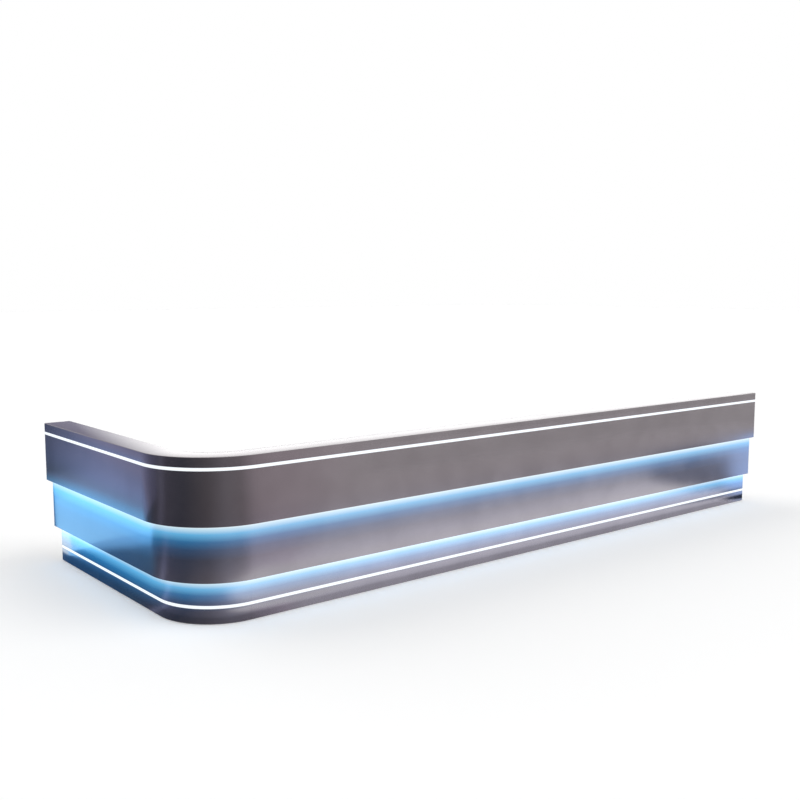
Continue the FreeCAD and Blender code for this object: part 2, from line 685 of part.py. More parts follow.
def kick_boards():
    """Recessed boards between the uprights, under each unit's bottom."""
    t = (UNIT_FRONT - KICK_INSET - PANEL, UNIT_FRONT - KICK_INSET)
    return [board(arm, s, t, (FLOOR_GAP, KICK_HEIGHT)) for name in units() for arm, s in bays(name)]


def corner_fillers():
    """Two boards that close the inner corner between the cupboard and the side unit."""
    z = (FLOOR_GAP, WORK_UNDERSIDE)
    t = (UNIT_FRONT - PANEL, UNIT_FRONT)
    return [board("front", (UNIT_FRONT - PANEL, CUPBOARD_START), t, z),
            board("side", (UNIT_FRONT, CUPBOARD_START), t, z)]


def unit_glides():
    """Glides under the uprights, two to a board, which stand on the floor."""
    glides = []
    for arm, uprights in units().values():
        for s in uprights:
            for t in (UNIT_BACK_FACE + GLIDE_INSET, UNIT_FRONT - GLIDE_INSET):
                glides.append(round_bar(arm, "z", GLIDE_RADIUS, s + PANEL / 2, t, (0, FLOOR_GAP)))
    return glides


def bar_handle(s, z, upright):
    """Flat bar on two round posts, on a front face, centred at s and z, level or upright."""
    half = HANDLE_LENGTH / 2
    stand = (UNIT_FRONT, UNIT_FRONT + HANDLE_STANDOFF)
    along, across = (half, HANDLE_WIDTH / 2), (HANDLE_WIDTH / 2, half)
    half_s, half_z = across if upright else along
    bar = eased(board("front", (s - half_s, s + half_s), (stand[1], stand[1] + HANDLE_THICKNESS),
                      (z - half_z, z + half_z)))
    reach = half - HANDLE_POST_INSET
    offsets = [(0, -reach), (0, reach)] if upright else [(-reach, 0), (reach, 0)]
    posts = [round_bar("front", "t", HANDLE_POST_RADIUS, s + a, stand, z + b) for a, b in offsets]
    return [bar, *posts]


def drawer_fronts():
    """Height range of each drawer front, from the top drawer down; the bottom one fills what is left."""
    top = UNIT_CEILING - FRONT_GAP
    first = (top - TOP_FRONT_HEIGHT, top)
    second = (first[0] - FRONT_GAP - MIDDLE_FRONT_HEIGHT, first[0] - FRONT_GAP)
    third = (UNIT_FLOOR + FRONT_GAP, second[0] - FRONT_GAP)
    return {"top": first, "middle": second, "bottom": third}


def drawer_box_ranges(front):
    """Ranges of a drawer box along the wall, into it and up, behind its front."""
    (_, clear), = bays("pedestal_carcass")
    s = (clear[0] + RUNNER_WIDTH, clear[1] - RUNNER_WIDTH)
    t = (UNIT_BACK_FACE + UNIT_BACK + BOX_BACK_CLEARANCE, UNIT_FRONT - PANEL)
    return s, t, (front[0] + BOX_CLEARANCE, front[1] - BOX_CLEARANCE)


def drawer_box(front):
    """Sides, ends and bottom of one drawer."""
    s, t, z = drawer_box_ranges(front)
    inner_s = (s[0] + BOX_BOARD, s[1] - BOX_BOARD)
    inner_t = (t[0] + BOX_BOARD, t[1] - BOX_BOARD)
    floor = z[0] + BOX_BOTTOM_RISE
    return [board("front", (s[0], inner_s[0]), t, z), board("front", (inner_s[1], s[1]), t, z),
            board("front", inner_s, (t[0], inner_t[0]), z), board("front", inner_s, (inner_t[1], t[1]), z),
            board("front", inner_s, inner_t, (floor, floor + BOX_BOTTOM))]


def runner_sections(wall, side, level):
    """Nested C sections of a runner in (s, z), open to each other: on the carcass wall and on the drawer."""
    half, gauge = RUNNER_HEIGHT / 2, RUNNER_GAUGE
    turn = 1 if side > wall else -1
    reach = wall + turn * RUNNER_REACH
    skin = wall + turn * gauge
    fixed = [(wall, -half), (reach, -half), (reach, gauge - half), (skin, gauge - half), (skin, half - gauge),
             (reach, half - gauge), (reach, half), (wall, half)]
    inside = half - gauge - FIT
    web = side - turn * gauge
    tip = skin + turn * 2 * gauge
    sliding = [(side, -inside), (tip, -inside), (tip, gauge - inside), (web, gauge - inside),
               (web, inside - gauge), (tip, inside - gauge), (tip, inside), (side, inside)]
    return [[(s, level + z) for s, z in points] for points in (fixed, sliding)]


def drawer_runners(front):
    """The fixed and the sliding members of one drawer's two runners."""
    (_, clear), = bays("pedestal_carcass")
    s, t, z = drawer_box_ranges(front)
    level = z[0] + RUNNER_RISE
    lengths = (t[1] - t[0] - FRONT_GAP, t[1] - t[0])
    fixed, sliding = [], []
    for wall, side in ((clear[0], s[0]), (clear[1], s[1])):
        for points, length, group in zip(runner_sections(wall, side, level), lengths, (fixed, sliding)):
            face = section(points, lambda a, b: at(a, t[0], b))
            group.append(face.extrude(FreeCAD.Vector(0, length, 0)))
    return fixed, sliding


def drawers():
    """Three drawers: front, box, handle and sliding rails of each, and the fixed runners of all."""
    (_, clear), = bays("pedestal_carcass")
    nodes = {"drawer_runners": []}
    for name, z in drawer_fronts().items():
        s = (clear[0] + FRONT_GAP, clear[1] - FRONT_GAP)
        fixed, sliding = drawer_runners(z)
        nodes[f"{name}_drawer_front"] = [eased(board("front", s, (UNIT_FRONT - PANEL, UNIT_FRONT), z))]
        nodes[f"{name}_drawer_box"] = drawer_box(z)
        nodes[f"{name}_drawer_handle"] = bar_handle(sum(s) / 2, sum(z) / 2, upright=False)
        nodes[f"{name}_drawer_rails"] = sliding
        nodes["drawer_runners"] += fixed
    return nodes


def door_range(side):
    """Range along the wall of one cupboard door."""
    (_, clear), = bays("cupboard_carcass")
    width = (clear[1] - clear[0] - 3 * FRONT_GAP) / 2
    start = clear[0] + FRONT_GAP if side == "left" else clear[1] - FRONT_GAP - width
    return start, start + width


def door_height():
    """Height range of the cupboard doors."""
    return UNIT_FLOOR + FRONT_GAP, UNIT_CEILING - FRONT_GAP


def pivot_place(side):
    """Place along the front arm and into it of a door's pivot axis."""
    s = door_range(side)
    return (s[0] + PIVOT_INSET if side == "left" else s[1] - PIVOT_INSET), UNIT_FRONT - PIVOT_BACK


def pivot_seats():
    """Height ranges of the pivot holes in the cupboard's bottom and top rail."""
    return (KICK_HEIGHT, UNIT_FLOOR), (UNIT_CEILING, WORK_UNDERSIDE)


def doors():
    """Two inset doors on pivot pins, each with an upright handle near the meeting edges."""
    z = door_height()
    nodes = {}
    for side in ("left", "right"):
        s = door_range(side)
        leaf = eased(board("front", s, (UNIT_FRONT - PANEL, UNIT_FRONT), z))
        for hole in ((z[0], z[0] + PIVOT_DEPTH + FIT), (z[1] - PIVOT_DEPTH - FIT, z[1])):
            leaf = leaf.cut(round_bar("front", "z", PIVOT_RADIUS + RUNNING, *pivot_place(side), hole))
        nodes[f"{side}_door"] = [leaf.Solids[0]]
        grip = s[1] - DOOR_HANDLE_INSET if side == "left" else s[0] + DOOR_HANDLE_INSET
        level = z[1] - DOOR_HANDLE_DROP - HANDLE_LENGTH / 2
        nodes[f"{side}_door_handle"] = bar_handle(grip, level, upright=True)
    return nodes


def door_pivots():
    """Collared pins in the cupboard's bottom and top rail, which the doors turn on."""
    z = door_height()
    pins = []
    for side in ("left", "right"):
        place = pivot_place(side)
        lower = round_bar("front", "z", PIVOT_RADIUS, *place, (KICK_HEIGHT, z[0] + PIVOT_DEPTH))
        lower = lower.fuse(round_bar("front", "z", PIVOT_COLLAR, *place, (UNIT_FLOOR, z[0] - FIT)))
        upper = round_bar("front", "z", PIVOT_RADIUS, *place, (z[1] - PIVOT_DEPTH, WORK_UNDERSIDE))
        upper = upper.fuse(round_bar("front", "z", PIVOT_COLLAR, *place, (z[1] + FIT, UNIT_CEILING)))
        pins += [lower.removeSplitter().Solids[0], upper.removeSplitter().Solids[0]]
    return pins


def counter():
    """Every node of the counter, as a list of solids under its name."""
    nodes = {}
    for group in (skins(), end_panels(), lights(), driver_hatch(), light_switch(), worktops(), carcasses(),
                  drawers(), doors()):
        nodes.update(group)
    for maker in (wall_ribs, sole_plates, levelling_feet, staff_lining, led_drivers, cable_bushes,
                  worktop_battens, unit_shelves, kick_boards, corner_fillers, unit_glides, door_pivots):
        nodes[maker.__name__] = maker()
    return nodes


def main():
    """Write one STEP file for each node."""
    os.makedirs("parts", exist_ok=True)
    for name, solids in counter().items():
        shape = solids[0] if len(solids) == 1 else Part.makeCompound(solids)
        shape.exportStep(f"parts/{name}.step")


if __name__ == "__main__":
    main()
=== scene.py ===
"""Bar counter: panels, light lines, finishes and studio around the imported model.

The counter is an L-shaped wall with a rounded outer corner. Along it t is measured in from the outer face
and z up from the floor, and a panel is its section in (t, z) carried along the front arm, the corner or the
side arm.
"""
import math

import bpy
import numpy as np
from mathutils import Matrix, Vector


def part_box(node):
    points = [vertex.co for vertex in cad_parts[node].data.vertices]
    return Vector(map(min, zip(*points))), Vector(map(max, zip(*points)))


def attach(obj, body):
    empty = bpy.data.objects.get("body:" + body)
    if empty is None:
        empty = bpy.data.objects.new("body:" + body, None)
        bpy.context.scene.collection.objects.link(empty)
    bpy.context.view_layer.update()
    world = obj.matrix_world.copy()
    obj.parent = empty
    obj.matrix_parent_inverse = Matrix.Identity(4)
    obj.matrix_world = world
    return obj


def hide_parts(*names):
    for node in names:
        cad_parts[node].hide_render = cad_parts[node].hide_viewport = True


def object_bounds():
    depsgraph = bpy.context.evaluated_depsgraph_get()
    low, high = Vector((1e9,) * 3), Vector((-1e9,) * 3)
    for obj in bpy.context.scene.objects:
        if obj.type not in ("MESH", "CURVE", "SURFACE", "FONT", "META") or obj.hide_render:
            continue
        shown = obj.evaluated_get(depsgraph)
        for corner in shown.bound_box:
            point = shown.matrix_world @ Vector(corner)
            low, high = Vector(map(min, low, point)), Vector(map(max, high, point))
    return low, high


bl_info = {
    "name": "Bar Counter",
    "version": (1, 0, 0),
    "blender": (4, 5, 0),
    "location": "View3D > Sidebar > Counter",
    "description": "Dresses the packed bar counter with panels, light lines, finishes and a studio",
    "category": "Object",
}

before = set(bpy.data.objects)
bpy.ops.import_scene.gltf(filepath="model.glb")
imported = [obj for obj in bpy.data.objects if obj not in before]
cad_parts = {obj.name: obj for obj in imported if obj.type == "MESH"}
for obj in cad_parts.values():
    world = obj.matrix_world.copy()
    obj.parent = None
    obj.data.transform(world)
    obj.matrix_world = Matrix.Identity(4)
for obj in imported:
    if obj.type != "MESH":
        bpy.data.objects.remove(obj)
CAD_LOW, CAD_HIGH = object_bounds()

# Form of the wall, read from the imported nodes, in metres
LONG, DEEP, TALL = CAD_HIGH - CAD_LOW
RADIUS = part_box("ledge_cap_corner")[1].x - CAD_LOW.x
LEDGE_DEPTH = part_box("ledge_cap_front")[1].y - CAD_LOW.y
LEDGE_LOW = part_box("ledge_cap_front")[0].z
FASCIA_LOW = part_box("upper_fascia_front")[0].z
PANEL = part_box("upper_fascia_front")[1].y - CAD_LOW.y
MIDDLE_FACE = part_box("middle_panel_front")[0].y - CAD_LOW.y
MIDDLE_LOW, MIDDLE_TOP = (corner.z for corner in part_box("middle_panel_front"))
BASE_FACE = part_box("base_panel_front")[0].y - CAD_LOW.y
BASE_LOW, BASE_TOP = (corner.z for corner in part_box("base_panel_front"))
LENGTHS = ("front", "corner", "side")
ALONG_X, ALONG_Y, UPRIGHT = range(3)
SMOOTH_BELOW = math.radians(32)


def linear(code):
    """Linear colour with full alpha from an sRGB hex code, by the sRGB curve."""
    share = np.array([int(code[i:i + 2], 16) for i in (1, 3, 5)]) / 255
    curve = np.where(share <= 0.04045, share / 12.92, ((share + 0.055) / 1.055) ** 2.4)
    return (*curve.tolist(), 1.0)


def size_prop(label, about, default):
    """Length property in metres."""
    return bpy.props.FloatProperty(name=label, description=about, default=default, unit="LENGTH",
                                   precision=4)


def colour_prop(label, about, code):
    """Colour property from an sRGB hex code."""
    return bpy.props.FloatVectorProperty(name=label, description=about, default=linear(code), size=4,
                                         subtype="COLOR", min=0, max=1)


def strength_prop(label, about, default):
    """Strength of a light or of a glow, as a factor."""
    return bpy.props.FloatProperty(name=label, description=about, default=default, min=0)


class CounterSizes(bpy.types.PropertyGroup):
    """Sizes of the panels' edges and of the lights."""

    edge_round: size_prop("Edge radius", "Radius of the panels' lower edges", 0.0015)
    nose_round: size_prop("Nose radius", "Radius of the ledge's outer top edge", 0.003)
    hair_round: size_prop("Fine radius", "Radius of edges beside the light lines and at panel ends", 0.0006)
    ledge_board: size_prop("Ledge thickness", "Thickness of the ledge's board behind its nose", 0.025)
    line_height: size_prop("Light line height", "Height of the groove for a light line", 0.021)
    line_depth: size_prop("Light line depth", "Depth of the groove for a light line", 0.0123)
    line_rise: size_prop("Base line rise", "Height of the lower light line above the floor", 0.1035)
    lens_face: size_prop("Lens thickness", "Thickness of a lens in front of its channel", 0.002)
    lens_tongue: size_prop("Lens tongue", "How far a lens reaches into its channel", 0.003)
    channel_wall: size_prop("Channel wall", "Wall of the aluminium channels", 0.0015)
    fit: size_prop("Fit", "Clearance between the pieces of a light", 0.0003)
    cove_height: size_prop("Cove height", "Height of a cove's ceiling above the edge before it", 0.042)
    cove_channel_width: size_prop("Cove channel width", "Width of a cove light's channel", 0.016)
    cove_channel_height: size_prop("Cove channel height", "Height of a cove light's channel", 0.009)
    edging: size_prop("Edging", "Thickness of the plastic edging on the worktop", 0.0008)
    bead: size_prop("Sealant bead", "Width of the sealant along the worktop's back edge", 0.0055)
    strip_width: size_prop("Joint strip width", "Width of the strips over the lining's joints", 0.01)
    strip_rise: size_prop("Joint strip rise", "How far those strips stand proud", 0.0013)
    cap_radius: size_prop("Cover cap radius", "Radius of the caps over the units' screws", 0.008)
    hole_pitch: size_prop("Shelf hole pitch", "Spacing of the shelf pins' holes", 0.032)
    sleeve_radius: size_prop("Sleeve radius", "Radius of the sleeves in the shelf pins' holes", 0.0042)
    pin_radius: size_prop("Shelf pin radius", "Radius of the pins under the shelves", 0.0025)
    pin_reach: size_prop("Shelf pin reach", "How far a shelf pin stands out", 0.008)
    lock_radius: size_prop("Lock radius", "Radius of the drawer lock's rose", 0.01)
    arc_steps: bpy.props.IntProperty(name="Corner steps", description="Stations round the quarter circle",
                                     default=72, min=8, max=256)
    edge_steps: bpy.props.IntProperty(name="Edge steps", description="Points on each rounded edge",
                                      default=5, min=2, max=12)


class CounterFinishes(bpy.types.PropertyGroup):
    """Colours of the counter's materials."""

    lacquer: colour_prop("Lacquer", "Metallic lacquer of the panels", "#7f787c")
    lacquer_flake: colour_prop("Lacquer flake", "Bright flake of the lacquer", "#8a8387")
    glow: colour_prop("Cove light", "Ice blue of the light under the steps", "#7dcaff")
    lens: colour_prop("Light line", "Cold white of the light lines", "#f4faff")
    melamine: colour_prop("Melamine", "White board of the staff side", "#e8e8e7")
    fronts: colour_prop("Fronts", "Doors and drawer fronts", "#dededd")
    worktop: colour_prop("Worktop", "Grey laminate of the worktop", "#a9aaad")
    edging: colour_prop("Edging", "Plastic edging of the worktop", "#85868a")
    sealant: colour_prop("Sealant", "Silicone bead behind the worktop", "#dcdcd8")
    kick: colour_prop("Kick boards", "Dark laminate of the kick boards", "#5b5b5e")
    birch: colour_prop("Birch", "Plywood of the drawers and the frame", "#d9c39c")
    steel: colour_prop("Steel", "Brushed steel of the handles", "#c4c4c2")
    zinc: colour_prop("Zinc", "Plated runners, screws and feet", "#c9cacb")
    aluminium: colour_prop("Aluminium", "Anodised channels and driver cases", "#d6d7d9")
    strip: colour_prop("Joint strip", "Satin aluminium strips over the lining's joints", "#9a9c9f")
    black: colour_prop("Black plastic", "Moulded bushes and glides", "#232324")
    switch: colour_prop("Switch", "Moulded switch", "#eeeeea")


class CounterStudio(bpy.types.PropertyGroup):
    """Camera and lights."""

    camera_place: bpy.props.FloatVectorProperty(name="Camera", description="Place of the camera",
                                                default=(-5.7435, -6.4377, 2.1445), subtype="TRANSLATION")
    camera_turn: bpy.props.FloatProperty(name="Turn", description="Camera's turn from +Y towards +X",
                                         default=math.radians(39.163), subtype="ANGLE")
    camera_dip: bpy.props.FloatProperty(name="Dip", description="Camera's tilt below the horizon",
                                        default=math.radians(6.554), subtype="ANGLE")
    camera_lens: bpy.props.FloatProperty(name="Lens", description="Focal length in mm, 36 mm sensor",
                                         default=44.43)
    sky: strength_prop("Sky", "Diffuse light of the white surroundings", 0.55)
    key: strength_prop("Key", "Soft light from the front right", 1.15)
    fill: strength_prop("Fill", "Soft light from behind", 0.75)
    line_glow: strength_prop("Line glow", "Emission of the light lines", 0.85)
    cove_glow: strength_prop("Cove glow", "Emission of the cove lights", 3.0)


def unit(vectors):
    """Vectors scaled to length one, along the last axis."""
    return vectors / np.linalg.norm(vectors, axis=-1, keepdims=True)


def rounded(corners, steps):
    """Outline of a section: each corner (t, z, radius) becomes an arc that touches both of its sides.

    An arc's centre lies on the bisector at radius / sin(half the corner's angle), and its points are the
    spherical mean of the two radii to the touching points. A radius of zero leaves the corner as one point.
    """
    data = np.array(corners, float)
    place, radius = data[:, None, :2], data[:, None, 2:]
    back = unit(np.roll(place, 1, axis=0) - place)
    ahead = unit(np.roll(place, -1, axis=0) - place)
    half = np.arccos(np.clip((back * ahead).sum(-1, keepdims=True), -1, 1)) / 2
    centre = place + unit(back + ahead) * radius / np.sin(half)
    first = place + back * radius / np.tan(half) - centre
    last = place + ahead * radius / np.tan(half) - centre
    turn = np.pi - 2 * half
    share = np.linspace(0, 1, steps)[None, :, None]
    points = centre + (np.sin((1 - share) * turn) * first + np.sin(share * turn) * last) / np.sin(turn)
    points = points.reshape(-1, 2)
    apart = np.linalg.norm(points - np.roll(points, 1, axis=0), axis=1) > 1e-7
    return points[apart]


def stations(length, steps):
    """Places along one length of the wall: points on the outer face and the level directions into the wall.

    An arm runs straight from the end of the curve to its own end. The corner is a quarter circle about
    (RADIUS, RADIUS), from the side arm to the front arm.
    """
    if length == "corner":
        angle = np.linspace(0, np.pi / 2, steps + 1)
        inward = np.stack([np.cos(angle), np.sin(angle), 0 * angle], axis=1)
        outer = (RADIUS - RADIUS * inward) * (1, 1, 0)
    else:
        along = np.linspace(RADIUS, LONG if length == "front" else DEEP, 2)
        way, inward = ((1, 0, 0), (0, 1, 0)) if length == "front" else ((0, 1, 0), (1, 0, 0))
        outer = along[:, None] * np.array(way)
        inward = np.tile(np.array(inward, float), (2, 1))
    return outer + (CAD_LOW.x, CAD_LOW.y, 0), inward


def carry(section, origin, first, second):
    """Closed shell of a section carried along a path, as points and faces that point outwards.

    point(i, j) = origin(i) + a(j) * first(i) + b(j) * second(i), with a flat face at each end. The faces
    are turned over if the shell's volume, summed over triangles from the origin, comes out negative.
    """
    a, b = section.T
    points = origin[:, None] + a[None, :, None] * first[:, None] + b[None, :, None] * second[:, None]
    rows, count = points.shape[:2]
    points = points.reshape(-1, 3)
    i, j = np.meshgrid(np.arange(rows - 1) * count, np.arange(count), indexing="ij")
    k = (j + 1) % count
    walls = np.stack([i + j, i + k, i + count + k, i + count + j], axis=-1).reshape(-1, 4)
    ends = np.stack([np.arange(count)[::-1], np.arange(count) + (rows - 1) * count])
    fans = [np.stack([np.broadcast_to(face[:, :1], face[:, 2:].shape), face[:, 1:-1], face[:, 2:]], axis=-1)
            for face in (walls, ends)]
    p, q, r = points[np.concatenate([fan.reshape(-1, 3) for fan in fans])].transpose(1, 0, 2)
    if np.einsum("ij,ij->", p, np.cross(q, r)) < 0:
        walls, ends = walls[:, ::-1], ends[:, ::-1]
    return points, walls.tolist() + ends.tolist()


def bar(section, start, end, first, second):
    """Shell of a section carried in a straight line from start to end."""
    path = np.array([start, end], float)
    return carry(np.array(section, float), path, np.tile(np.array(first, float), (2, 1)),
                 np.tile(np.array(second, float), (2, 1)))


def turned(profile, place, axis, sides=24):
    """Turned form: a circle carried along an axis, with radius r at height h of the profile (r, h)."""
    radius, height = np.array(profile, float).T[:, :, None]
    axis = np.array(axis, float)
    across = np.roll(axis, 1)
    angle = np.linspace(0, 2 * np.pi, sides, endpoint=False)
    circle = np.column_stack([np.cos(angle), np.sin(angle)])
    path = np.array(place, float) + height * axis
    return carry(circle, path, radius * across, radius * np.cross(axis, across))


def wall_shell(corners, length, sizes):
    """Shell of a section in (t, z) along one length of the wall."""
    outer, inward = stations(length, sizes.arc_steps)
    up = np.tile(np.array((0.0, 0.0, 1.0)), (len(outer), 1))
    return carry(rounded(corners, sizes.edge_steps), outer, inward, up)


def piece(name, shells, material, body="counter", stands_for=(), ease=0.0):
    """New piece of one or more shells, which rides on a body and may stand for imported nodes."""
    starts = np.cumsum([0] + [len(points) for points, faces in shells])
    points = np.concatenate([points for points, faces in shells])
    faces = [[start + k for k in face] for start, shell in zip(starts, shells) for face in shell[1]]
    mesh = bpy.data.meshes.new(name)
    mesh.from_pydata(points, [], faces)
    mesh.polygons.foreach_set("use_smooth", np.ones(len(mesh.polygons), bool))
    mesh.set_sharp_from_angle(angle=SMOOTH_BELOW)
    mesh.materials.append(material)
    made = bpy.data.objects.new(name, mesh)
    bpy.context.scene.collection.objects.link(made)
    if ease:
        bevel = made.modifiers.new("Eased edges", "BEVEL")
        bevel.width = ease
        bevel.segments = 2
        bevel.limit_method = "ANGLE"
        bevel.angle_limit = SMOOTH_BELOW
        bevel.harden_normals = True
    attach(made, body)
    if stands_for:
        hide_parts(*stands_for)


def dress(material, *nodes):
    """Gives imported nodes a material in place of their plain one."""
    for node in nodes:
        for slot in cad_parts[node].material_slots:
            slot.material = material


def add(tree, kind, inputs=None, stops=None, **settings):
    """Adds a shader node of a kind with its settings, and a colour ramp's stops as places and hex codes.

    An input gets a link where a node or a socket is given, and else a value. A node stands for the first
    output that its settings leave in use.
    """
    node = tree.nodes.new(f"ShaderNode{kind}")
    for index, (place, code) in enumerate(stops or ()):
        ramp = node.color_ramp
        stop = ramp.elements[index] if index < 2 else ramp.elements.new(place)
        stop.position, stop.color = place, linear(code)
    for key, value in settings.items():
        setattr(node, key, value)
    for key, value in (inputs or {}).items():
        if isinstance(value, bpy.types.Node):
            value = next(socket for socket in value.outputs if socket.enabled)
        if isinstance(value, bpy.types.NodeSocket):
            tree.links.new(value, node.inputs[key])
        else:
            node.inputs[key].default_value = value
    return node


def blank(name):
    """New material with an empty tree, and its Object coordinates."""
    material = bpy.data.materials.new(name)
    material.use_nodes = True
    tree = material.node_tree
    tree.nodes.clear()
    return material, tree, add(tree, "TexCoord").outputs["Object"]


def per_mm(size):
    """Texture scale for a pattern of that size in millimetres, on coordinates in metres."""
    return 1000.0 / size


def patterned(tree, colour, shade, satin, relief, **extra):
    """Ends a material whose tone, roughness and relief follow patterns.

    Shade is a pattern with its range and the factors that the range gives the colour. Satin is a pattern
    with the least and the most roughness. Relief is a pattern with its strength and its height in metres.
    """
    factor = add(tree, "MapRange", dict(enumerate(shade)))
    tone = add(tree, "Mix", {0: 1.0, 6: colour, 7: factor}, data_type="RGBA", blend_type="MULTIPLY")
    rough = add(tree, "MapRange", dict(zip((0, 3, 4), satin)))
    bump = add(tree, "Bump", dict(zip(("Height", "Strength", "Distance"), relief)))
    shader = add(tree, "BsdfPrincipled",
                 {"Base Color": tone, "Roughness": rough, "Normal": bump, **extra})
    add(tree, "OutputMaterial", {"Surface": shader})


# Light of a cove painted on the panel below it as the lacquer's own glow, from the edge of the step, at 0, to
# its reach, at 1
PAINTED_COVE_LIGHT = [(0.0, "#ffffff"), (0.05, "#cae4ee"), (0.17, "#57abd9"), (0.32, "#005e8e"), (0.48, "#003456"),
        (0.68, "#001223"), (1.0, "#000000")]
# Reach of that painted light on the two tiers, in metres, and how much longer it is on the side arm
MIDDLE_REACH, BASE_REACH = 0.33, 0.3
SIDE_REACH = 1.25
# Where the reach begins to grow before the end of the bend, and where it is full beyond it
GROWS_BEFORE, FULL_BEYOND = 0.15, 0.1


def graphite_lacquer(name, finishes, painted_light=None):
    """Metallic graphite lacquer, sprayed and polished on board: a clear gloss over fine flake.

    It mirrors its surroundings in a mid grey. The flake is too fine to show, so it is drawn at 5 mm, with a
    faint cloud from the spray gun at 240 mm and the orange peel of the clear coat at 7 mm. The painted cove
    light, (edge, reach), is the light of a cove painted into the lacquer as its own glow: it fades from white
    at the edge of the step over sky blue to nothing at its reach, which is a quarter longer on the side arm.
    """
    material, tree, place = blank(name)
    flake = add(tree, "TexNoise", {"Vector": place, "Scale": per_mm(5), "Detail": 3.0})
    cloud = add(tree, "TexNoise", {"Vector": place, "Scale": per_mm(240), "Detail": 2.0})
    blend = add(tree, "Math", {0: flake, 1: cloud}, operation="MULTIPLY")
    share = add(tree, "MapRange", {0: blend, 1: 0.12, 2: 0.4})
    tone = add(tree, "Mix", {0: share, 6: finishes.lacquer, 7: finishes.lacquer_flake}, data_type="RGBA")
    gloss = add(tree, "MapRange", {0: cloud, 1: 0.3, 2: 0.7, 3: 0.17, 4: 0.22})
    peel = add(tree, "TexNoise", {"Vector": place, "Scale": per_mm(7), "Detail": 1.0})
    bump = add(tree, "Bump", {"Strength": 0.02, "Distance": 0.0004, "Height": peel})
    inputs = {"Base Color": tone, "Metallic": 0.92, "Roughness": gloss, "Normal": bump,
              "Coat Weight": 0.35, "Coat Roughness": 0.06, "Coat IOR": 1.5}
    # The cove's light is painted on as the lacquer's own glow, fading down from the edge of the step
    if painted_light:
        edge, reach = painted_light
        axes = add(tree, "SeparateXYZ", {0: place})
        bend = CAD_LOW.y + RADIUS
        end = add(tree, "MapRange", {0: axes.outputs["Y"], 1: bend - GROWS_BEFORE, 2: bend + FULL_BEYOND,
                                     3: edge - reach, 4: edge - SIDE_REACH * reach})
        below = add(tree, "MapRange", {0: axes.outputs["Z"], 1: edge, 2: end})
        light = add(tree, "ValToRGB", {0: below}, stops=PAINTED_COVE_LIGHT)
        inputs.update({"Emission Color": light, "Emission Strength": 1.0})
    shader = add(tree, "BsdfPrincipled", inputs)
    add(tree, "OutputMaterial", {"Surface": shader})
    return material


def opal_acrylic(name, colour, strength):
    """Opal acrylic lens, extruded and lit from behind: an even glow with a soft satin skin.

    Much of the light that falls on it goes in, so its own colour is a dull white.
    """
    material, tree, place = blank(name)
    grain = add(tree, "TexNoise", {"Vector": place, "Scale": per_mm(3), "Detail": 2.0})
    satin = add(tree, "MapRange", {0: grain, 3: 0.3, 4: 0.42})
    shader = add(tree, "BsdfPrincipled", {"Base Color": linear("#939699"), "Roughness": satin, "IOR": 1.49,
                                          "Emission Color": colour, "Emission Strength": strength})
    add(tree, "OutputMaterial", {"Surface": shader})
    return material


def melamine(name, colour):
    """Melamine-faced board, pressed against a pearl-textured plate: matt white with a fine dimple.

    The dimple is drawn at 4 mm so that it shows, over a faint tone change at 300 mm.
    """
    material, tree, place = blank(name)
    pearl = add(tree, "TexNoise", {"Vector": place, "Scale": per_mm(4), "Detail": 2.0})
    cloud = add(tree, "TexNoise", {"Vector": place, "Scale": per_mm(300), "Detail": 3.0})
    patterned(tree, colour, (cloud, 0.25, 0.75, 0.95, 1.02), (pearl, 0.38, 0.55), (pearl, 0.12, 0.0004),
              IOR=1.5)
    return material


def speckled_laminate(name, colour):
    """High-pressure laminate with a printed stone fleck: a dull mid grey with lighter and darker grains.

    The fleck is drawn at 6 mm so that it shows.
    """
    material, tree, place = blank(name)
    fleck = add(tree, "TexVoronoi", {"Vector": place, "Scale": per_mm(6)})
    cloud = add(tree, "TexNoise", {"Vector": place, "Scale": per_mm(180), "Detail": 4.0})
    grain = add(tree, "SeparateColor", {0: fleck.outputs["Color"]})
    mixed = add(tree, "Math", {0: grain, 1: cloud}, operation="ADD")
    patterned(tree, colour, (mixed, 0.4, 1.6, 0.82, 1.14), (grain.outputs[1], 0.36, 0.5),
              (grain, 0.1, 0.0003), IOR=1.5)
    return material


def birch_plywood(name, colour, grain_axis=ALONG_X):
    """Birch plywood, sanded and oiled: pale wood with long soft grain along one axis.

    The grain is 14 mm wide and 420 mm long. On boards that stand across that axis it runs along the next
    level axis.
    """
    material, tree, place = blank(name)
    ways = []
    for axis in (grain_axis, 1 - grain_axis):
        stretch = [per_mm(14)] * 3
        stretch[axis] = per_mm(420)
        ways.append(add(tree, "Mapping", {"Vector": place, "Scale": stretch}))
    facing = add(tree, "SeparateXYZ", {0: place.node.outputs["Normal"]})
    size = add(tree, "Math", {0: facing.outputs[grain_axis]}, operation="ABSOLUTE")
    across = add(tree, "Math", {0: size, 1: 0.7}, operation="GREATER_THAN")
    way = add(tree, "Mix", {0: across, 4: ways[0], 5: ways[1]}, data_type="VECTOR")
    grain = add(tree, "TexNoise", {"Vector": way, "Scale": 1.0, "Detail": 5.0, "Distortion": 0.6})
    patterned(tree, colour, (grain, 0.3, 0.7, 0.72, 1.06), (grain, 0.5, 0.65), (grain, 0.1, 0.0003))
    return material


def brushed_metal(name, colour, roughness, brush_axis=ALONG_X):
    """Metal brushed or drawn along one axis: fine lines 0.8 mm apart that stretch the highlights."""
    material, tree, place = blank(name)
    stretch = [per_mm(0.8)] * 3
    stretch[brush_axis] = per_mm(60)
    way = add(tree, "Mapping", {"Vector": place, "Scale": stretch})
    lines = add(tree, "TexNoise", {"Vector": way, "Scale": 1.0, "Detail": 2.0})
    patterned(tree, colour, (lines, 0.3, 0.7, 0.86, 1.04), (lines, roughness - 0.06, roughness + 0.08),
              (lines, 0.08, 0.0001), Metallic=1.0)
    return material


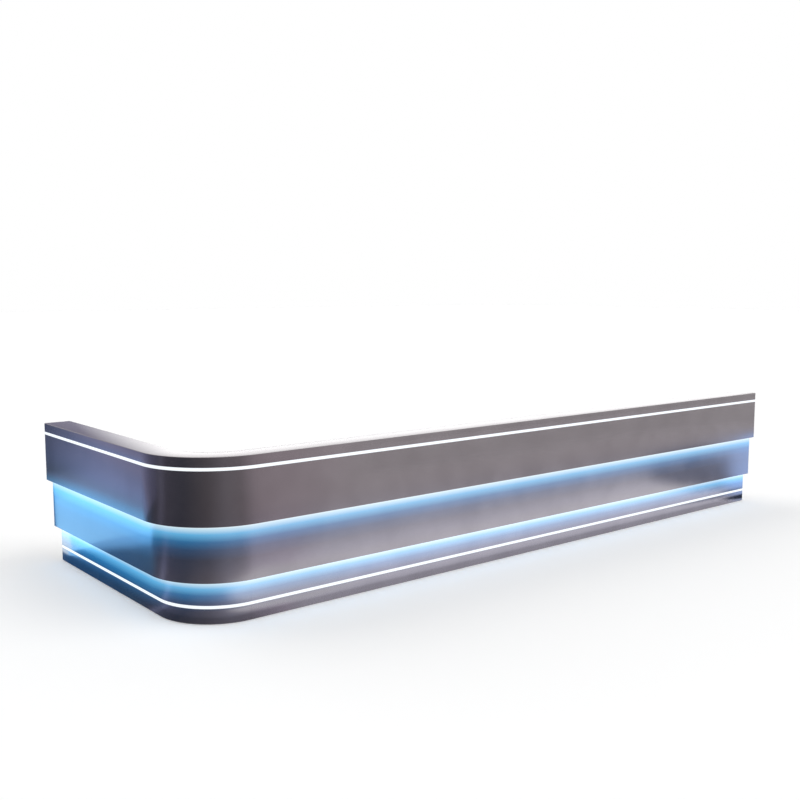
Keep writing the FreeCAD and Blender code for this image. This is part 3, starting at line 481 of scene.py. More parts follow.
def moulded_plastic(name, colour, roughness):
    """Moulded plastic with a spark-eroded skin: an even colour and a fine matt grain, drawn at 1.5 mm."""
    material, tree, place = blank(name)
    grain = add(tree, "TexNoise", {"Vector": place, "Scale": per_mm(1.5), "Detail": 2.0})
    patterned(tree, colour, (grain, 0.3, 0.7, 0.98, 1.015), (grain, roughness - 0.06, roughness + 0.06),
              (grain, 0.05, 0.0002), IOR=1.5)
    return material


def fascia_section(sizes):
    """Upper fascia, with a rebate at its top outer edge for the light line."""
    line_low = LEDGE_LOW - sizes.line_height
    return [(0, FASCIA_LOW, sizes.edge_round), (PANEL, FASCIA_LOW, sizes.edge_round), (PANEL, LEDGE_LOW, 0),
            (sizes.line_depth, LEDGE_LOW, 0), (sizes.line_depth, line_low, 0),
            (0, line_low, sizes.hair_round)]


def middle_section(sizes):
    """Middle band, which runs up behind the fascia."""
    inner = MIDDLE_FACE + PANEL
    return [(MIDDLE_FACE, MIDDLE_LOW, sizes.edge_round), (inner, MIDDLE_LOW, sizes.edge_round),
            (inner, MIDDLE_TOP, 0), (MIDDLE_FACE, MIDDLE_TOP, 0)]


def base_section(sizes):
    """Base panel, with a groove for the lower light line."""
    inner = BASE_FACE + PANEL
    groove = BASE_FACE + sizes.line_depth
    line_top = sizes.line_rise + sizes.line_height
    return [(BASE_FACE, BASE_LOW, sizes.edge_round), (inner, BASE_LOW, 0), (inner, BASE_TOP, 0),
            (BASE_FACE, BASE_TOP, 0), (BASE_FACE, line_top, sizes.hair_round), (groove, line_top, 0),
            (groove, sizes.line_rise, 0), (BASE_FACE, sizes.line_rise, sizes.hair_round)]


def ledge_section(sizes):
    """Ledge: a board with a deep nose at its outer edge."""
    underside = TALL - sizes.ledge_board
    return [(0, LEDGE_LOW, sizes.hair_round), (PANEL, LEDGE_LOW, 0), (PANEL, underside, 0),
            (LEDGE_DEPTH, underside, sizes.edge_round), (LEDGE_DEPTH, TALL, sizes.edge_round),
            (0, TALL, sizes.nose_round)]


def lens_and_channel(face, back, low, high, sizes):
    """Sections of a lens and of the channel behind it, as (depth, place across, radius).

    The lens covers the channel's mouth from low to high, and its tongue reaches inside with some clearance.
    """
    fit, wall, soft = sizes.fit, sizes.channel_wall, sizes.hair_round
    seat = face + sizes.lens_face
    tongue, mouth = seat + sizes.lens_tongue, seat + fit
    in_low, in_high = low + wall, high - wall
    lens = [(face, low, soft), (seat, low, 0), (seat, in_low + fit, 0), (tongue, in_low + fit, 0),
            (tongue, in_high - fit, 0), (seat, in_high - fit, 0), (seat, high, 0), (face, high, soft)]
    channel = [(mouth, low, 0), (back, low, 0), (back, high, 0), (mouth, high, 0), (mouth, in_high, 0),
               (back - wall, in_high, 0), (back - wall, in_low, 0), (mouth, in_low, 0)]
    return lens, channel


def line_sections(face, bottom, sizes):
    """Sections of a light line's lens and channel, sunk in from face and standing on bottom."""
    fit = sizes.fit
    back, top = face + sizes.line_depth - fit, bottom + sizes.line_height - fit
    return lens_and_channel(face, back, bottom + fit, top, sizes)


def cove_sections(slot, edge, sizes):
    """Sections of a cove light's lens and channel, hung from the ceiling of a slot (outer t, inner t)."""
    ceiling = edge + sizes.cove_height
    face = ceiling - sizes.cove_channel_height - sizes.fit - sizes.lens_face
    middle, half = sum(slot) / 2, sizes.cove_channel_width / 2
    hanging = lens_and_channel(face, ceiling, middle - half, middle + half, sizes)
    return [[(t, z, radius) for z, t, radius in section] for section in hanging]


# Lacquered panels: node, section, name in the material, and the edge and reach of the cove light painted on
# them
PANELS = (("upper_fascia", fascia_section, "fascia", None),
          ("middle_panel", middle_section, "middle band", (FASCIA_LOW, MIDDLE_REACH)),
          ("base_panel", base_section, "base", (MIDDLE_LOW, BASE_REACH)),
          ("ledge_cap", ledge_section, "ledge", None))


class COUNTER_OT_panels(bpy.types.Operator):
    """Lacquered fascia, middle band, base and ledge in three lengths each, and the stepped end panels"""

    bl_idname = "counter.panels"
    bl_label = "Panels"

    def execute(self, context):
        sizes, finishes = context.scene.counter_sizes, context.scene.counter_finishes
        for name, section, label, painted_light in PANELS:
            lacquer = graphite_lacquer(f"Graphite lacquer, {label}", finishes, painted_light)
            for length in LENGTHS:
                shell = wall_shell(section(sizes), length, sizes)
                piece(f"{name}_{length}_skin", [shell], lacquer,
                      stands_for=[f"{name}_{length}"], ease=sizes.hair_round)
            if name == "ledge_cap":
                dress(lacquer, "right_end_panel", "side_end_panel")
        return {"FINISHED"}


class COUNTER_OT_lights(bpy.types.Operator):
    """Light lines and cove lights: lenses, channels, tapes and soffits"""

    bl_idname = "counter.lights"
    bl_label = "Lights"

    def execute(self, context):
        scene = context.scene
        sizes, finishes, studio = scene.counter_sizes, scene.counter_finishes, scene.counter_studio
        lines = [line_sections(0, LEDGE_LOW - sizes.line_height, sizes),
                 line_sections(BASE_FACE, sizes.line_rise, sizes)]
        coves = [cove_sections((PANEL, MIDDLE_FACE), FASCIA_LOW, sizes),
                 cove_sections((MIDDLE_FACE + PANEL, BASE_FACE), MIDDLE_LOW, sizes)]
        white = opal_acrylic("Opal acrylic, light line", finishes.lens, studio.line_glow)
        cold = opal_acrylic("Opal acrylic, cove", finishes.glow, studio.cove_glow)
        metal = brushed_metal("Anodised aluminium", finishes.aluminium, 0.35)
        channels = [channel for lens, channel in lines + coves]
        groups = [("line_light_lenses", [lens for lens, channel in lines], white, "line_lens"),
                  ("cove_light_lenses", [lens for lens, channel in coves], cold, "cove_lens"),
                  ("led_channels", channels, metal, "channel_aluminium")]
        for node, sections, material, slot in groups:
            shells = [wall_shell(section, length, sizes) for section in sections for length in LENGTHS]
            piece(f"{node}_run", shells, material, stands_for=[node])
        dress(moulded_plastic("White circuit tape", finishes.switch, 0.45), "led_tapes")
        dress(melamine("Matt white paint", finishes.switch), "cove_soffits")
        return {"FINISHED"}


class COUNTER_OT_wall(bpy.types.Operator):
    """Timber frame, feet and staff lining of the wall"""

    bl_idname = "counter.wall"
    bl_label = "Wall"

    def execute(self, context):
        finishes = context.scene.counter_finishes
        dress(birch_plywood("Birch plywood, frame", finishes.birch), "wall_ribs", "sole_plates")
        dress(melamine("White melamine, lining", finishes.melamine), "staff_lining")
        dress(brushed_metal("Zinc plate, feet", finishes.zinc, 0.38, UPRIGHT), "levelling_feet")
        return {"FINISHED"}


class COUNTER_OT_worktop(bpy.types.Operator):
    """Worktop boards, their battens and the cable grommets"""

    bl_idname = "counter.worktop"
    bl_label = "Worktop"

    def execute(self, context):
        finishes = context.scene.counter_finishes
        dress(speckled_laminate("Grey laminate", finishes.worktop), "worktop_front_left",
              "worktop_front_right", "worktop_side", "worktop_corner")
        dress(birch_plywood("Birch plywood, battens", finishes.birch), "worktop_battens")
        dress(moulded_plastic("Black moulded plastic", finishes.black, 0.42), "cable_bushes", "unit_glides")
        return {"FINISHED"}


class COUNTER_OT_units(bpy.types.Operator):
    """Carcasses, shelves, fillers and kick boards under the worktop"""

    bl_idname = "counter.units"
    bl_label = "Units"

    def execute(self, context):
        finishes = context.scene.counter_finishes
        dress(melamine("White melamine, units", finishes.melamine), "cupboard_carcass", "pedestal_carcass",
              "shelf_unit_carcass", "side_unit_carcass", "unit_shelves", "corner_fillers")
        dress(speckled_laminate("Dark laminate", finishes.kick), "kick_boards")
        return {"FINISHED"}


class COUNTER_OT_drawers(bpy.types.Operator):
    """Three drawers: fronts, birch boxes, handles and runners"""

    bl_idname = "counter.drawers"
    bl_label = "Drawers"

    def execute(self, context):
        finishes = context.scene.counter_finishes
        front = melamine("White melamine, drawer fronts", finishes.fronts)
        birch = birch_plywood("Birch plywood, drawers", finishes.birch, ALONG_Y)
        steel = brushed_metal("Brushed steel, level handles", finishes.steel, 0.3)
        zinc = brushed_metal("Zinc plate, runners", finishes.zinc, 0.36, ALONG_Y)
        for name in ("top", "middle", "bottom"):
            dress(front, f"{name}_drawer_front")
            dress(birch, f"{name}_drawer_box")
            dress(steel, f"{name}_drawer_handle")
            dress(zinc, f"{name}_drawer_rails")
        dress(zinc, "drawer_runners")
        return {"FINISHED"}


class COUNTER_OT_doors(bpy.types.Operator):
    """Two cupboard doors, their handles and pivots"""

    bl_idname = "counter.doors"
    bl_label = "Doors"

    def execute(self, context):
        finishes = context.scene.counter_finishes
        dress(melamine("White melamine, doors", finishes.fronts), "left_door", "right_door")
        dress(brushed_metal("Brushed steel, upright handles", finishes.steel, 0.3, UPRIGHT),
              "left_door_handle", "right_door_handle")
        dress(brushed_metal("Zinc plate, pivots", finishes.zinc, 0.36, UPRIGHT), "door_pivots")
        return {"FINISHED"}


class COUNTER_OT_electrics(bpy.types.Operator):
    """Light switch, driver hatch and drivers"""

    bl_idname = "counter.electrics"
    bl_label = "Switch and drivers"

    def execute(self, context):
        finishes = context.scene.counter_finishes
        dress(moulded_plastic("White moulded plastic", finishes.switch, 0.28), "switch_plate",
              "switch_rocker")
        dress(melamine("White melamine, hatch", finishes.melamine), "driver_hatch")
        dress(brushed_metal("Zinc plate, screws", finishes.zinc, 0.36), "hatch_screws")
        dress(brushed_metal("Anodised aluminium, drivers", finishes.aluminium, 0.4), "led_drivers")
        return {"FINISHED"}


def bays(node, count, axis):
    """Clear ranges between the uprights of a unit with that many bays, along the axis of its arm."""
    low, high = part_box(node)
    edges = np.linspace(low[axis], high[axis] - PANEL, count + 1)
    return [(left + PANEL, right) for left, right in zip(edges[:-1], edges[1:])]


class COUNTER_OT_trim(bpy.types.Operator):
    """Worktop edging and sealant, and the strips over the lining's joints"""

    bl_idname = "counter.trim"
    bl_label = "Trim"

    def execute(self, context):
        sizes, finishes = context.scene.counter_sizes, context.scene.counter_finishes
        self.edging(sizes, moulded_plastic("ABS edging", finishes.edging, 0.32))
        self.sealant(sizes, moulded_plastic("Silicone sealant", finishes.sealant, 0.36))
        satin = brushed_metal("Satin aluminium, joint strips", finishes.strip, 0.5, UPRIGHT)
        self.joint_strips(sizes, satin)
        return {"FINISHED"}

    def edging(self, sizes, material):
        """Thin band on the front edge of each worktop board, its own edges eased."""
        low, high = (corner.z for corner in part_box("worktop_side"))
        inset = 1.2 * sizes.edge_round
        out, soft, gap = sizes.edging, sizes.edging / 2, sizes.fit
        section = rounded([(0, low + inset, 0), (out, low + inset, soft), (out, high - inset, soft),
                           (0, high - inset, 0)], sizes.edge_steps)
        side, left, right = (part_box(f"worktop_{name}") for name in ("side", "front_left", "front_right"))
        edge_x, edge_y = side[1].x, left[1].y
        front_runs = ((edge_x + out, left[0].x), (left[0].x, left[1].x), (right[0].x, right[1].x))
        side_runs = ((edge_y + out, side[0].y), (side[0].y, side[1].y))
        shells = [bar(section, (start + gap, edge_y, 0), (end - gap, edge_y, 0), (0, 1, 0), (0, 0, 1))
                  for start, end in front_runs]
        shells += [bar(section, (edge_x, start + gap, 0), (edge_x, end - gap, 0), (1, 0, 0), (0, 0, 1))
                   for start, end in side_runs]
        piece("worktop_edging", shells, material)

    def sealant(self, sizes, material):
        """Hollow bead in the corner between the worktop and the lining."""
        wall, top = LEDGE_DEPTH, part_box("worktop_side")[1].z
        width = sizes.bead
        section = [(wall, top, 0), (wall + width, top, 0),
                   (wall + 0.3 * width, top + 0.3 * width, width / 2), (wall, top + width, 0)]
        piece("worktop_sealant", [wall_shell(section, length, sizes) for length in LENGTHS], material)

    def joint_strips(self, sizes, material):
        """Flat oval strips from the worktop to the ledge, and below the worktop in the knee spaces."""
        half, rise = sizes.strip_width / 2, sizes.strip_rise
        section = [(-half, 0), (half, 0), (0.84 * half, 0.7 * rise), (0.4 * half, rise),
                   (-0.4 * half, rise), (-0.84 * half, 0.7 * rise)]
        lining_x, lining_y = CAD_LOW.x + LEDGE_DEPTH, CAD_LOW.y + LEDGE_DEPTH
        above = (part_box("worktop_side")[1].z + sizes.bead + sizes.fit, TALL - sizes.ledge_board - sizes.fit)
        below = (BASE_LOW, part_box("worktop_battens")[0].z - sizes.fit)
        neighbours = (("cupboard_carcass", "pedestal_carcass"), ("pedestal_carcass", "driver_hatch"))
        knees = [(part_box(left)[1].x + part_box(right)[0].x) / 2 for left, right in neighbours]
        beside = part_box("shelf_unit_carcass")
        fronts = [(x, run) for x in knees for run in (above, below)]
        fronts.append(((beside[0].x + beside[1].x) / 2, above))
        shells = [bar(section, (x, lining_y, low), (x, lining_y, high), (1, 0, 0), (0, 1, 0))
                  for x, (low, high) in fronts]
        unit_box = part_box("side_unit_carcass")
        y = (unit_box[0].y + unit_box[1].y) / 2
        shells.append(bar(section, (lining_x, y, above[0]), (lining_x, y, above[1]), (0, 1, 0), (1, 0, 0)))
        piece("lining_joint_strips", shells, material)


# Columns of shelf pin holes behind a unit's front, and screws of the rails and bottoms from a unit's edges
PIN_COLUMNS = (0.085, 0.36)
RAIL_SCREWS = (0.02, 0.06)
BOTTOM_SCREW = 0.05


class COUNTER_OT_fittings(bpy.types.Operator):
    """Shelf pins and their sleeves, cover caps on the units, and the top drawer's lock"""

    bl_idname = "counter.fittings"
    bl_label = "Fittings"

    def execute(self, context):
        sizes, finishes = context.scene.counter_sizes, context.scene.counter_finishes
        nickel = brushed_metal("Nickel plate", finishes.steel, 0.28)
        black = moulded_plastic("Black moulded plastic, bores", finishes.black, 0.5)
        self.shelf_pins(sizes, nickel, black)
        self.cover_caps(sizes, moulded_plastic("White moulded plastic, caps", finishes.melamine, 0.4))
        self.lock(sizes, nickel, black)
        return {"FINISHED"}

    def shelf_pins(self, sizes, nickel, black):
        """Columns of seven sleeved holes on both sides of each bay, with a pin under the shelf."""
        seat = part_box("unit_shelves")[0].z - sizes.pin_radius
        levels = seat + sizes.hole_pitch * np.arange(-3, 4)
        ring, bore, reach = sizes.sleeve_radius, 1.06 * sizes.pin_radius, sizes.pin_reach
        lip = 0.0005
        sleeve = [(ring, 0), (ring, 0.8 * lip), (0.9 * ring, lip), (bore, lip), (bore, 0.2 * lip)]
        hole = [(bore, 0.1 * lip), (bore, 0.4 * lip)]
        pin = [(sizes.pin_radius, 0.2 * lip), (sizes.pin_radius, 0.93 * reach),
               (0.8 * sizes.pin_radius, reach)]
        sleeves, holes, pins = [], [], []
        for node, count, axis in (("cupboard_carcass", 1, ALONG_X), ("shelf_unit_carcass", 2, ALONG_X),
                                  ("side_unit_carcass", 2, ALONG_Y)):
            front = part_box(node)[1][1 - axis]
            for clear in bays(node, count, axis):
                for wall, way in zip(clear, (1.0, -1.0)):
                    for depth in PIN_COLUMNS:
                        normal = np.eye(3)[axis] * way
                        column = front - depth
                        foot = np.array((wall, column, 0.0) if axis == ALONG_X else (column, wall, 0.0))
                        sleeves += [turned(sleeve, foot + (0, 0, z), normal, 12) for z in levels]
                        holes += [turned(hole, foot + (0, 0, z), normal, 12) for z in levels if z != seat]
                        pins.append(turned(pin, foot + (0, 0, seat), normal, 12))
        piece("shelf_pin_sleeves", sleeves, nickel)
        piece("shelf_pin_bores", holes, black)
        piece("shelf_pins", pins, nickel)

    def cover_caps(self, sizes, material):
        """Low domes over the screws of the rails and bottoms, on the sides that face the knee spaces."""
        r = sizes.cap_radius
        dome = [(r, 0), (r, 0.06 * r), (0.9 * r, 0.13 * r), (0.5 * r, 0.17 * r)]
        shells = []
        units = (("cupboard_carcass", (1,)), ("pedestal_carcass", (-1, 1)), ("shelf_unit_carcass", (-1,)))
        for node, sides in units:
            low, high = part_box(node)
            back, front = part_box("pedestal_carcass")[0].y, high.y
            bottom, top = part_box("kick_boards")[1].z + PANEL / 2, high.z - PANEL / 2
            rails = [front - inset for inset in RAIL_SCREWS] + [back + inset for inset in RAIL_SCREWS]
            bottoms = (front - BOTTOM_SCREW, (front + back) / 2, back + BOTTOM_SCREW)
            spots = [(y, top) for y in rails] + [(y, bottom) for y in bottoms]
            for way in sides:
                x = high.x if way > 0 else low.x
                shells += [turned(dome, (x, y, z), (way, 0, 0)) for y, z in spots]
        piece("cover_caps", shells, material)

    def lock(self, sizes, nickel, black):
        """Round rose with a turned plug and a key slot, on the right of the top drawer's front."""
        low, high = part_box("top_drawer_front")
        r = sizes.lock_radius
        place = (high.x - 5 * r, high.y, (low.z + high.z) / 2)
        rose = [(r, 0), (r, 0.16 * r), (0.92 * r, 0.26 * r), (0.7 * r, 0.3 * r)]
        plug = [(0.62 * r, 0.2 * r), (0.62 * r, 0.37 * r), (0.56 * r, 0.4 * r)]
        shells = [turned(form, place, (0, 1, 0), 40) for form in (rose, plug)]
        piece("drawer_lock", shells, nickel, "top_drawer")
        wide, tall = 0.06 * r, 0.3 * r
        slot = [(-wide, -tall), (wide, -tall), (wide, tall), (-wide, tall)]
        face = place[1] + 0.4 * r
        keyway = bar(slot, (place[0], face - 0.01 * r, place[2]), (place[0], face + 0.02 * r, place[2]),
                     (1, 0, 0), (0, 0, 1))
        piece("drawer_lock_slot", [keyway], black, "top_drawer")


def stage_surface(name, points, material):
    """Surface of the studio from points on a grid, row by row."""
    rows, columns = points.shape[:2]
    i, j = np.meshgrid(np.arange(rows - 1) * columns, np.arange(columns - 1), indexing="ij")
    faces = np.stack([i + j, i + j + 1, i + columns + j + 1, i + columns + j], axis=-1).reshape(-1, 4)
    mesh = bpy.data.meshes.new(name)
    mesh.from_pydata(points.reshape(-1, 3), [], faces.tolist())
    mesh.materials.append(material)
    made = bpy.data.objects.new(name, mesh)
    bpy.context.scene.collection.objects.link(made)
    return made


def card(name, points, material):
    """Studio card that only mirrored rays see."""
    made = stage_surface(name, points, material)
    for ray in ("camera", "diffuse", "transmission", "shadow", "volume_scatter"):
        setattr(made, f"visible_{ray}", False)


def upright(line, low, high):
    """Grid of an upright card over a line of places on the floor: each place at two heights."""
    line = np.array(line, float)
    return np.stack([np.column_stack([line, np.full(len(line), z)]) for z in (low, high)])


def level(x_range, y_range, height):
    """Grid of a level rectangle at a height."""
    x, y = np.meshgrid(x_range, y_range)
    return np.stack([x, y, 0 * x + height], axis=-1)


def card_light(tree, colour, strength):
    """Ends a card's material in plain light."""
    glow = add(tree, "Emission", {"Color": colour, "Strength": strength})
    add(tree, "OutputMaterial", {"Surface": glow})


LAMP_SPREAD = math.radians(50)
# Wrap round the left of the studio: its distance from the middle of the counter's corner, its height, where
# it starts and ends, in degrees about that middle, and its steps
WRAP_AWAY, WRAP_TALL = 4.6, 3.0
WRAP_START, WRAP_END, WRAP_STEPS = -222, -30, 64
# Brightness of the wrap along its turn: white behind the counter, dim blue beyond the side arm, darkest to
# the left, paper white at the front right
WRAP = [(0.13, "#ffffff"), (0.175, "#2c6294"), (0.25, "#40627f"), (0.31, "#555968"), (0.337, "#8a8ea6"),
        (0.36, "#606272"), (0.43, "#4f5564"), (0.52, "#767479"), (0.59, "#a1a0a6"), (0.645, "#aaa6aa"),
        (0.685, "#d2cbd1"), (0.72, "#ece3e8"), (0.75, "#ffffff")]
# Light painted on a card over the floor by its distance from the counter, up to its reach: a cold pool near
# it
POOL = [(0.0, "#b8bbc4"), (0.016, "#e0e5ef"), (0.08, "#f0f5ff"), (0.155, "#f5fbff"), (0.2, "#e9eef9"),
        (0.25, "#d6dbe4"), (0.3, "#c4c8d0"), (0.345, "#b9bcc2"), (0.41, "#b2b3b8"), (0.5, "#b1b0b4"),
        (0.7, "#bab9ba")]
POOL_REACH, POOL_TOP = 3.2, 1.95
POOL_X, POOL_Y, POOL_RISE = (-7.2, 8.0), (-6.2, 4.2), 0.002
# Blue card beyond the side arm: its two ends, its place, its height and its strength
BLUE_LEFT, BLUE_RIGHT, BLUE_Y, BLUE_TALL, BLUE_TOP = -6.7, -3.112, 1.25, 1.1, 2.5
# Its glow by the height above a slope that falls to the right, and how that fades from right to left
BLUE_SLOPE, SLOPE_LOW, SLOPE_HIGH = 0.68, 2.6, 3.6
BLUE_CARD = [(0.0, "#84c8fb"), (0.12, "#70b6ee"), (0.2, "#72a0cb"), (0.235, "#7790b8"), (0.27, "#7289ac"),
             (0.4, "#7c90bc"), (0.52, "#8090ba"), (0.66, "#7987ae"), (0.83, "#868aaa"), (1.0, "#7c81a2")]
BLUE_FADE = [(0.0, "#9f9f9f"), (0.37, "#adadad"), (0.54, "#cbcbcb"), (0.67, "#e2e2e2"), (0.76, "#e7e7e7"),
             (0.89, "#ffffff")]
FADE_END = -3.1
# Its dark top right corner: where it begins and ends across and upwards, and how much of the light it takes
DARK_LEFT, DARK_RIGHT, DARK_LOW, DARK_HIGH, DARK_SHARE = -3.7, -3.18, 0.45, 0.7, 0.7
# White card at its right end: colour, depth, height and strength
END_WHITE, END_DEEP, END_TALL, END_TOP = "#e4f6ff", 0.5, 0.2, 2.0
# Back light from its dusky left to its white right, where that change begins and ends, and its strength
BACK_LIGHT = [(0.0, "#797788"), (1.0, "#ffffff")]
DUSK_END, WHITE_FROM, BACK_TOP = -1.95, -0.9, 1.65
BACK_LEFT, BACK_RIGHT, BACK_Y, BACK_LOW, BACK_HIGH = -2.7, 11.0, 3.5, 1.15, 3.0
# Painted light and shade in soft ovals on the floor: name, colour, strength, middle, turn in degrees and
# radii
PATCHES = [("Blue foot", "#74b8f2", 2.0, (-3.7, 1.34, 0.005), 0, (0.64, 0.6)),
           ("Pale corner", "#f5fbff", 1.7, (-2.15, -1.47, 0.003), 0, (0.85, 0.36)),
           ("Dusk", "#a6b0c8", 1.0, (3.72, -1.95, 0.004), -18, (1.3, 0.72)),
           ("Blue end", "#adcdff", 2.4, (4.6, -1.9, 0.006), -30.5, (2.25, 0.3)),
           # Near-black patch of painted shade on the floor before the right end, darkening the base's
           # reflection
           ("Shade", "#16243c", 1.0, (3.28, -1.145, 0.007), 0, (0.38, 0.13))]


class COUNTER_OT_stage(bpy.types.Operator):
    """Pale floor, white surroundings, two soft lamps, reflector cards and camera"""

    bl_idname = "counter.stage"
    bl_label = "Studio"

    def execute(self, context):
        scene, studio = context.scene, context.scene.counter_studio
        scene.view_settings.view_transform = "Standard"
        self.surroundings(scene, studio)
        self.floor()
        self.lamps(scene, studio)
        self.wrap_and_pool()
        self.blue_cards()
        for patch in PATCHES:
            self.patch(*patch)
        self.back_light()
        self.camera(scene, studio)
        return {"FINISHED"}

    def surroundings(self, scene, studio):
        """White to the eye and in mirrors, and a softer light on matt surfaces."""
        world = bpy.data.worlds.new("White surroundings")
        scene.world = world
        world.use_nodes = True
        tree = world.node_tree
        tree.nodes.clear()
        path = add(tree, "LightPath").outputs
        seen = add(tree, "Math", {0: path["Is Camera Ray"], 1: path["Is Glossy Ray"]},
                   operation="MAXIMUM")
        clear = add(tree, "Math", {0: seen, 1: path["Is Transmission Ray"]}, operation="MAXIMUM")
        share = add(tree, "MapRange", {0: clear, 3: studio.sky, 4: 1.0})
        light = add(tree, "Background", {"Color": (1, 1, 1, 1), "Strength": share})
        add(tree, "OutputWorld", {"Surface": light})

    def floor(self):
        """Pale floor that runs out of sight; a little light is added for the camera alone."""
        reach, camera_light = 80.0, 0.17
        material, tree, _ = blank("Pale studio floor")
        matt = add(tree, "BsdfDiffuse", {"Color": linear("#efefef")})
        path = add(tree, "LightPath").outputs
        lift = add(tree, "Math", {0: path["Is Camera Ray"], 1: camera_light}, operation="MULTIPLY")
        glow = add(tree, "Emission", {"Strength": lift})
        both = add(tree, "AddShader", {0: matt, 1: glow})
        add(tree, "OutputMaterial", {"Surface": both})
        stage_surface("studio_floor", level((-reach, reach), (-reach, reach), 0.0), material)

    def lamps(self, scene, studio):
        """A broad soft key from the front right and a weaker fill from behind."""
        for name, strength, tilt, turn in (("Key", studio.key, 42, 35), ("Fill", studio.fill, 48, 205)):
            data = bpy.data.lights.new(name, "SUN")
            data.energy = strength
            data.angle = LAMP_SPREAD
            lamp = bpy.data.objects.new(name, data)
            lamp.rotation_euler = (math.radians(tilt), 0, math.radians(turn))
            lamp.visible_glossy = False
            scene.collection.objects.link(lamp)

    def wrap_and_pool(self):
        """Wrap round the left, and a painted pool of light on the floor, as bright as the wrap behind it."""
        middle = (CAD_LOW.x + RADIUS, CAD_LOW.y + RADIUS, 0)
        start = (0, 0, math.radians(-WRAP_START))
        materials = {}
        for name in ("Wrap", "Floor pool"):
            material, tree, place = blank(name)
            about = add(tree, "Mapping", {"Vector": place, "Location": middle, "Rotation": start},
                        vector_type="TEXTURE")
            angle = add(tree, "TexGradient", {0: about}, gradient_type="RADIAL")
            shade = add(tree, "ValToRGB", {0: angle.outputs[1]}, stops=WRAP)
            if name == "Wrap":
                card_light(tree, shade, 1.0)
            else:
                near = add(tree, "VectorMath", {0: place, 1: middle}, operation="SUBTRACT")
                out = add(tree, "VectorMath", {0: near, 1: (0, 0, 0)}, operation="MINIMUM")
                span = add(tree, "VectorMath", {0: out}, operation="LENGTH")
                away = add(tree, "MapRange", {0: span, 1: RADIUS, 2: RADIUS + POOL_REACH})
                # Pool of light painted by the distance from the counter, times the wrap's shade behind it
                pool = add(tree, "ValToRGB", {0: away}, stops=POOL)
                light = add(tree, "Mix", {0: 1.0, 6: shade, 7: pool}, data_type="RGBA",
                            blend_type="MULTIPLY")
                card_light(tree, light, POOL_TOP)
            materials[name] = material
        turn = np.radians(np.linspace(WRAP_START, WRAP_END, WRAP_STEPS + 1))
        ring = np.column_stack([middle[0] + WRAP_AWAY * np.sin(turn), middle[1] + WRAP_AWAY * np.cos(turn)])
        card("wrap_card", upright(ring, 0.0, WRAP_TALL), materials["Wrap"])
        card("floor_pool_card", level(POOL_X, POOL_Y, POOL_RISE), materials["Floor pool"])

    def blue_cards(self):
        """Blue card beyond the side arm, dark at its top right, and a small white card at its end."""
        material, tree, place = blank("Blue card")
        axes = add(tree, "SeparateXYZ", {0: place}).outputs
        slope = add(tree, "Math", {0: axes["X"], 1: -BLUE_SLOPE, 2: axes["Z"]}, operation="MULTIPLY_ADD")
        rise = add(tree, "MapRange", {0: slope, 1: SLOPE_LOW, 2: SLOPE_HIGH})
        shade = add(tree, "ValToRGB", {0: rise}, stops=BLUE_CARD)
        across = add(tree, "MapRange", {0: axes["X"], 1: BLUE_LEFT, 2: FADE_END})
        fade = add(tree, "ValToRGB", {0: across}, stops=BLUE_FADE)
        light = add(tree, "Mix", {0: 1.0, 6: shade, 7: fade}, data_type="RGBA", blend_type="MULTIPLY")
        right = add(tree, "MapRange", {0: axes["X"], 1: DARK_LEFT, 2: DARK_RIGHT, 4: DARK_SHARE})
        high = add(tree, "MapRange", {0: axes["Z"], 1: DARK_LOW, 2: DARK_HIGH})
        drop = add(tree, "Math", {0: right, 1: high}, operation="MULTIPLY")
        strength = add(tree, "MapRange", {0: drop, 3: BLUE_TOP, 4: 0.0})
        card_light(tree, light, strength)
        card("blue_card", upright([(BLUE_LEFT, BLUE_Y), (BLUE_RIGHT, BLUE_Y)], 0.0, BLUE_TALL), material)
        material, tree, _ = blank("White end")
        card_light(tree, linear(END_WHITE), END_TOP)
        ends = [(BLUE_RIGHT, BLUE_Y), (BLUE_RIGHT, BLUE_Y + END_DEEP)]
        card("white_end_card", upright(ends, 0.0, END_TALL), material)

    def patch(self, name, code, strength, middle, turn, radii):
        """Oval patch of painted light on the floor that fades to nothing over the outer half of its radii.

        A dark colour makes it painted shade.
        """
        material, tree, place = blank(f"{name} patch")
        about = add(tree, "Mapping",
                    {"Vector": place, "Location": middle, "Scale": (*radii, 1),
                     "Rotation": (0, 0, math.radians(turn))}, vector_type="TEXTURE")
        inward = add(tree, "TexGradient", {0: about}, gradient_type="SPHERICAL")
        cover = add(tree, "MapRange", {0: inward.outputs[1], 2: 0.5}, interpolation_type="SMOOTHSTEP")
        glow = add(tree, "Emission", {"Color": linear(code), "Strength": strength})
        clear = add(tree, "BsdfTransparent")
        shader = add(tree, "MixShader", {0: cover, 1: clear, 2: glow})
        add(tree, "OutputMaterial", {"Surface": shader})
        x, y, height = middle
        reach = max(radii)
        points = level((x - reach, x + reach), (y - reach, y + reach), height)
        card(f"{name.lower().replace(' ', '_')}_patch", points, material)

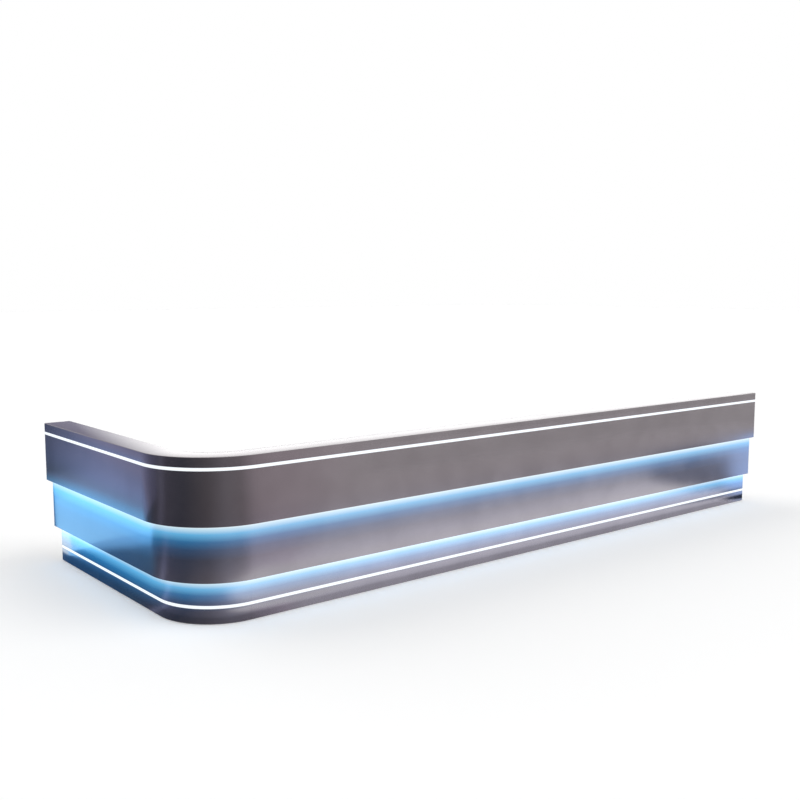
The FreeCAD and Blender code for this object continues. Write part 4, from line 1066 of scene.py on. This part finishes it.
    def back_light(self):
        """Light behind the counter, high up, which the ledge's top mirrors."""
        material, tree, place = blank("Back light")
        axes = add(tree, "SeparateXYZ", {0: place})
        across = add(tree, "MapRange", {0: axes.outputs["X"], 1: DUSK_END, 2: WHITE_FROM})
        shade = add(tree, "ValToRGB", {0: across}, stops=BACK_LIGHT)
        card_light(tree, shade, BACK_TOP)
        ends = [(BACK_LEFT, BACK_Y), (BACK_RIGHT, BACK_Y)]
        card("back_card", upright(ends, BACK_LOW, BACK_HIGH), material)

    def camera(self, scene, studio):
        """Camera at the photograph's place, level from side to side."""
        data = bpy.data.cameras.new("Camera")
        data.lens = studio.camera_lens
        data.sensor_width = 36.0
        camera = bpy.data.objects.new("Camera", data)
        camera.location = studio.camera_place
        camera.rotation_euler = (math.pi / 2 - studio.camera_dip, 0, -studio.camera_turn)
        scene.collection.objects.link(camera)
        scene.camera = camera


class COUNTER_PT_panel(bpy.types.Panel):
    """Counter's sizes, finishes and steps"""

    bl_idname = "COUNTER_PT_panel"
    bl_label = "Bar Counter"
    bl_space_type = "VIEW_3D"
    bl_region_type = "UI"
    bl_category = "Counter"

    def draw(self, context):
        layout = self.layout
        for group in GROUPS:
            settings = getattr(context.scene, group)
            for key in settings.__annotations__:
                layout.prop(settings, key)
        for step in STEPS:
            layout.operator(step.bl_idname)


STEPS = (COUNTER_OT_panels, COUNTER_OT_lights, COUNTER_OT_wall, COUNTER_OT_worktop, COUNTER_OT_units,
         COUNTER_OT_drawers, COUNTER_OT_doors, COUNTER_OT_electrics, COUNTER_OT_trim, COUNTER_OT_fittings,
         COUNTER_OT_stage)
GROUPS = {"counter_sizes": CounterSizes, "counter_finishes": CounterFinishes,
          "counter_studio": CounterStudio}


def register():
    """Registers the classes and hangs the property groups on the scene."""
    for cls in (*GROUPS.values(), *STEPS, COUNTER_PT_panel):
        bpy.utils.register_class(cls)
    for name, group in GROUPS.items():
        setattr(bpy.types.Scene, name, bpy.props.PointerProperty(type=group))


def unregister():
    """Undoes register."""
    for name in GROUPS:
        delattr(bpy.types.Scene, name)
    for cls in (COUNTER_PT_panel, *reversed(STEPS), *reversed(GROUPS.values())):
        bpy.utils.unregister_class(cls)


def main():
    """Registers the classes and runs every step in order."""
    register()
    for step in STEPS:
        family, name = step.bl_idname.split(".")
        getattr(getattr(bpy.ops, family), name)()


if __name__ == "__main__":
    main()
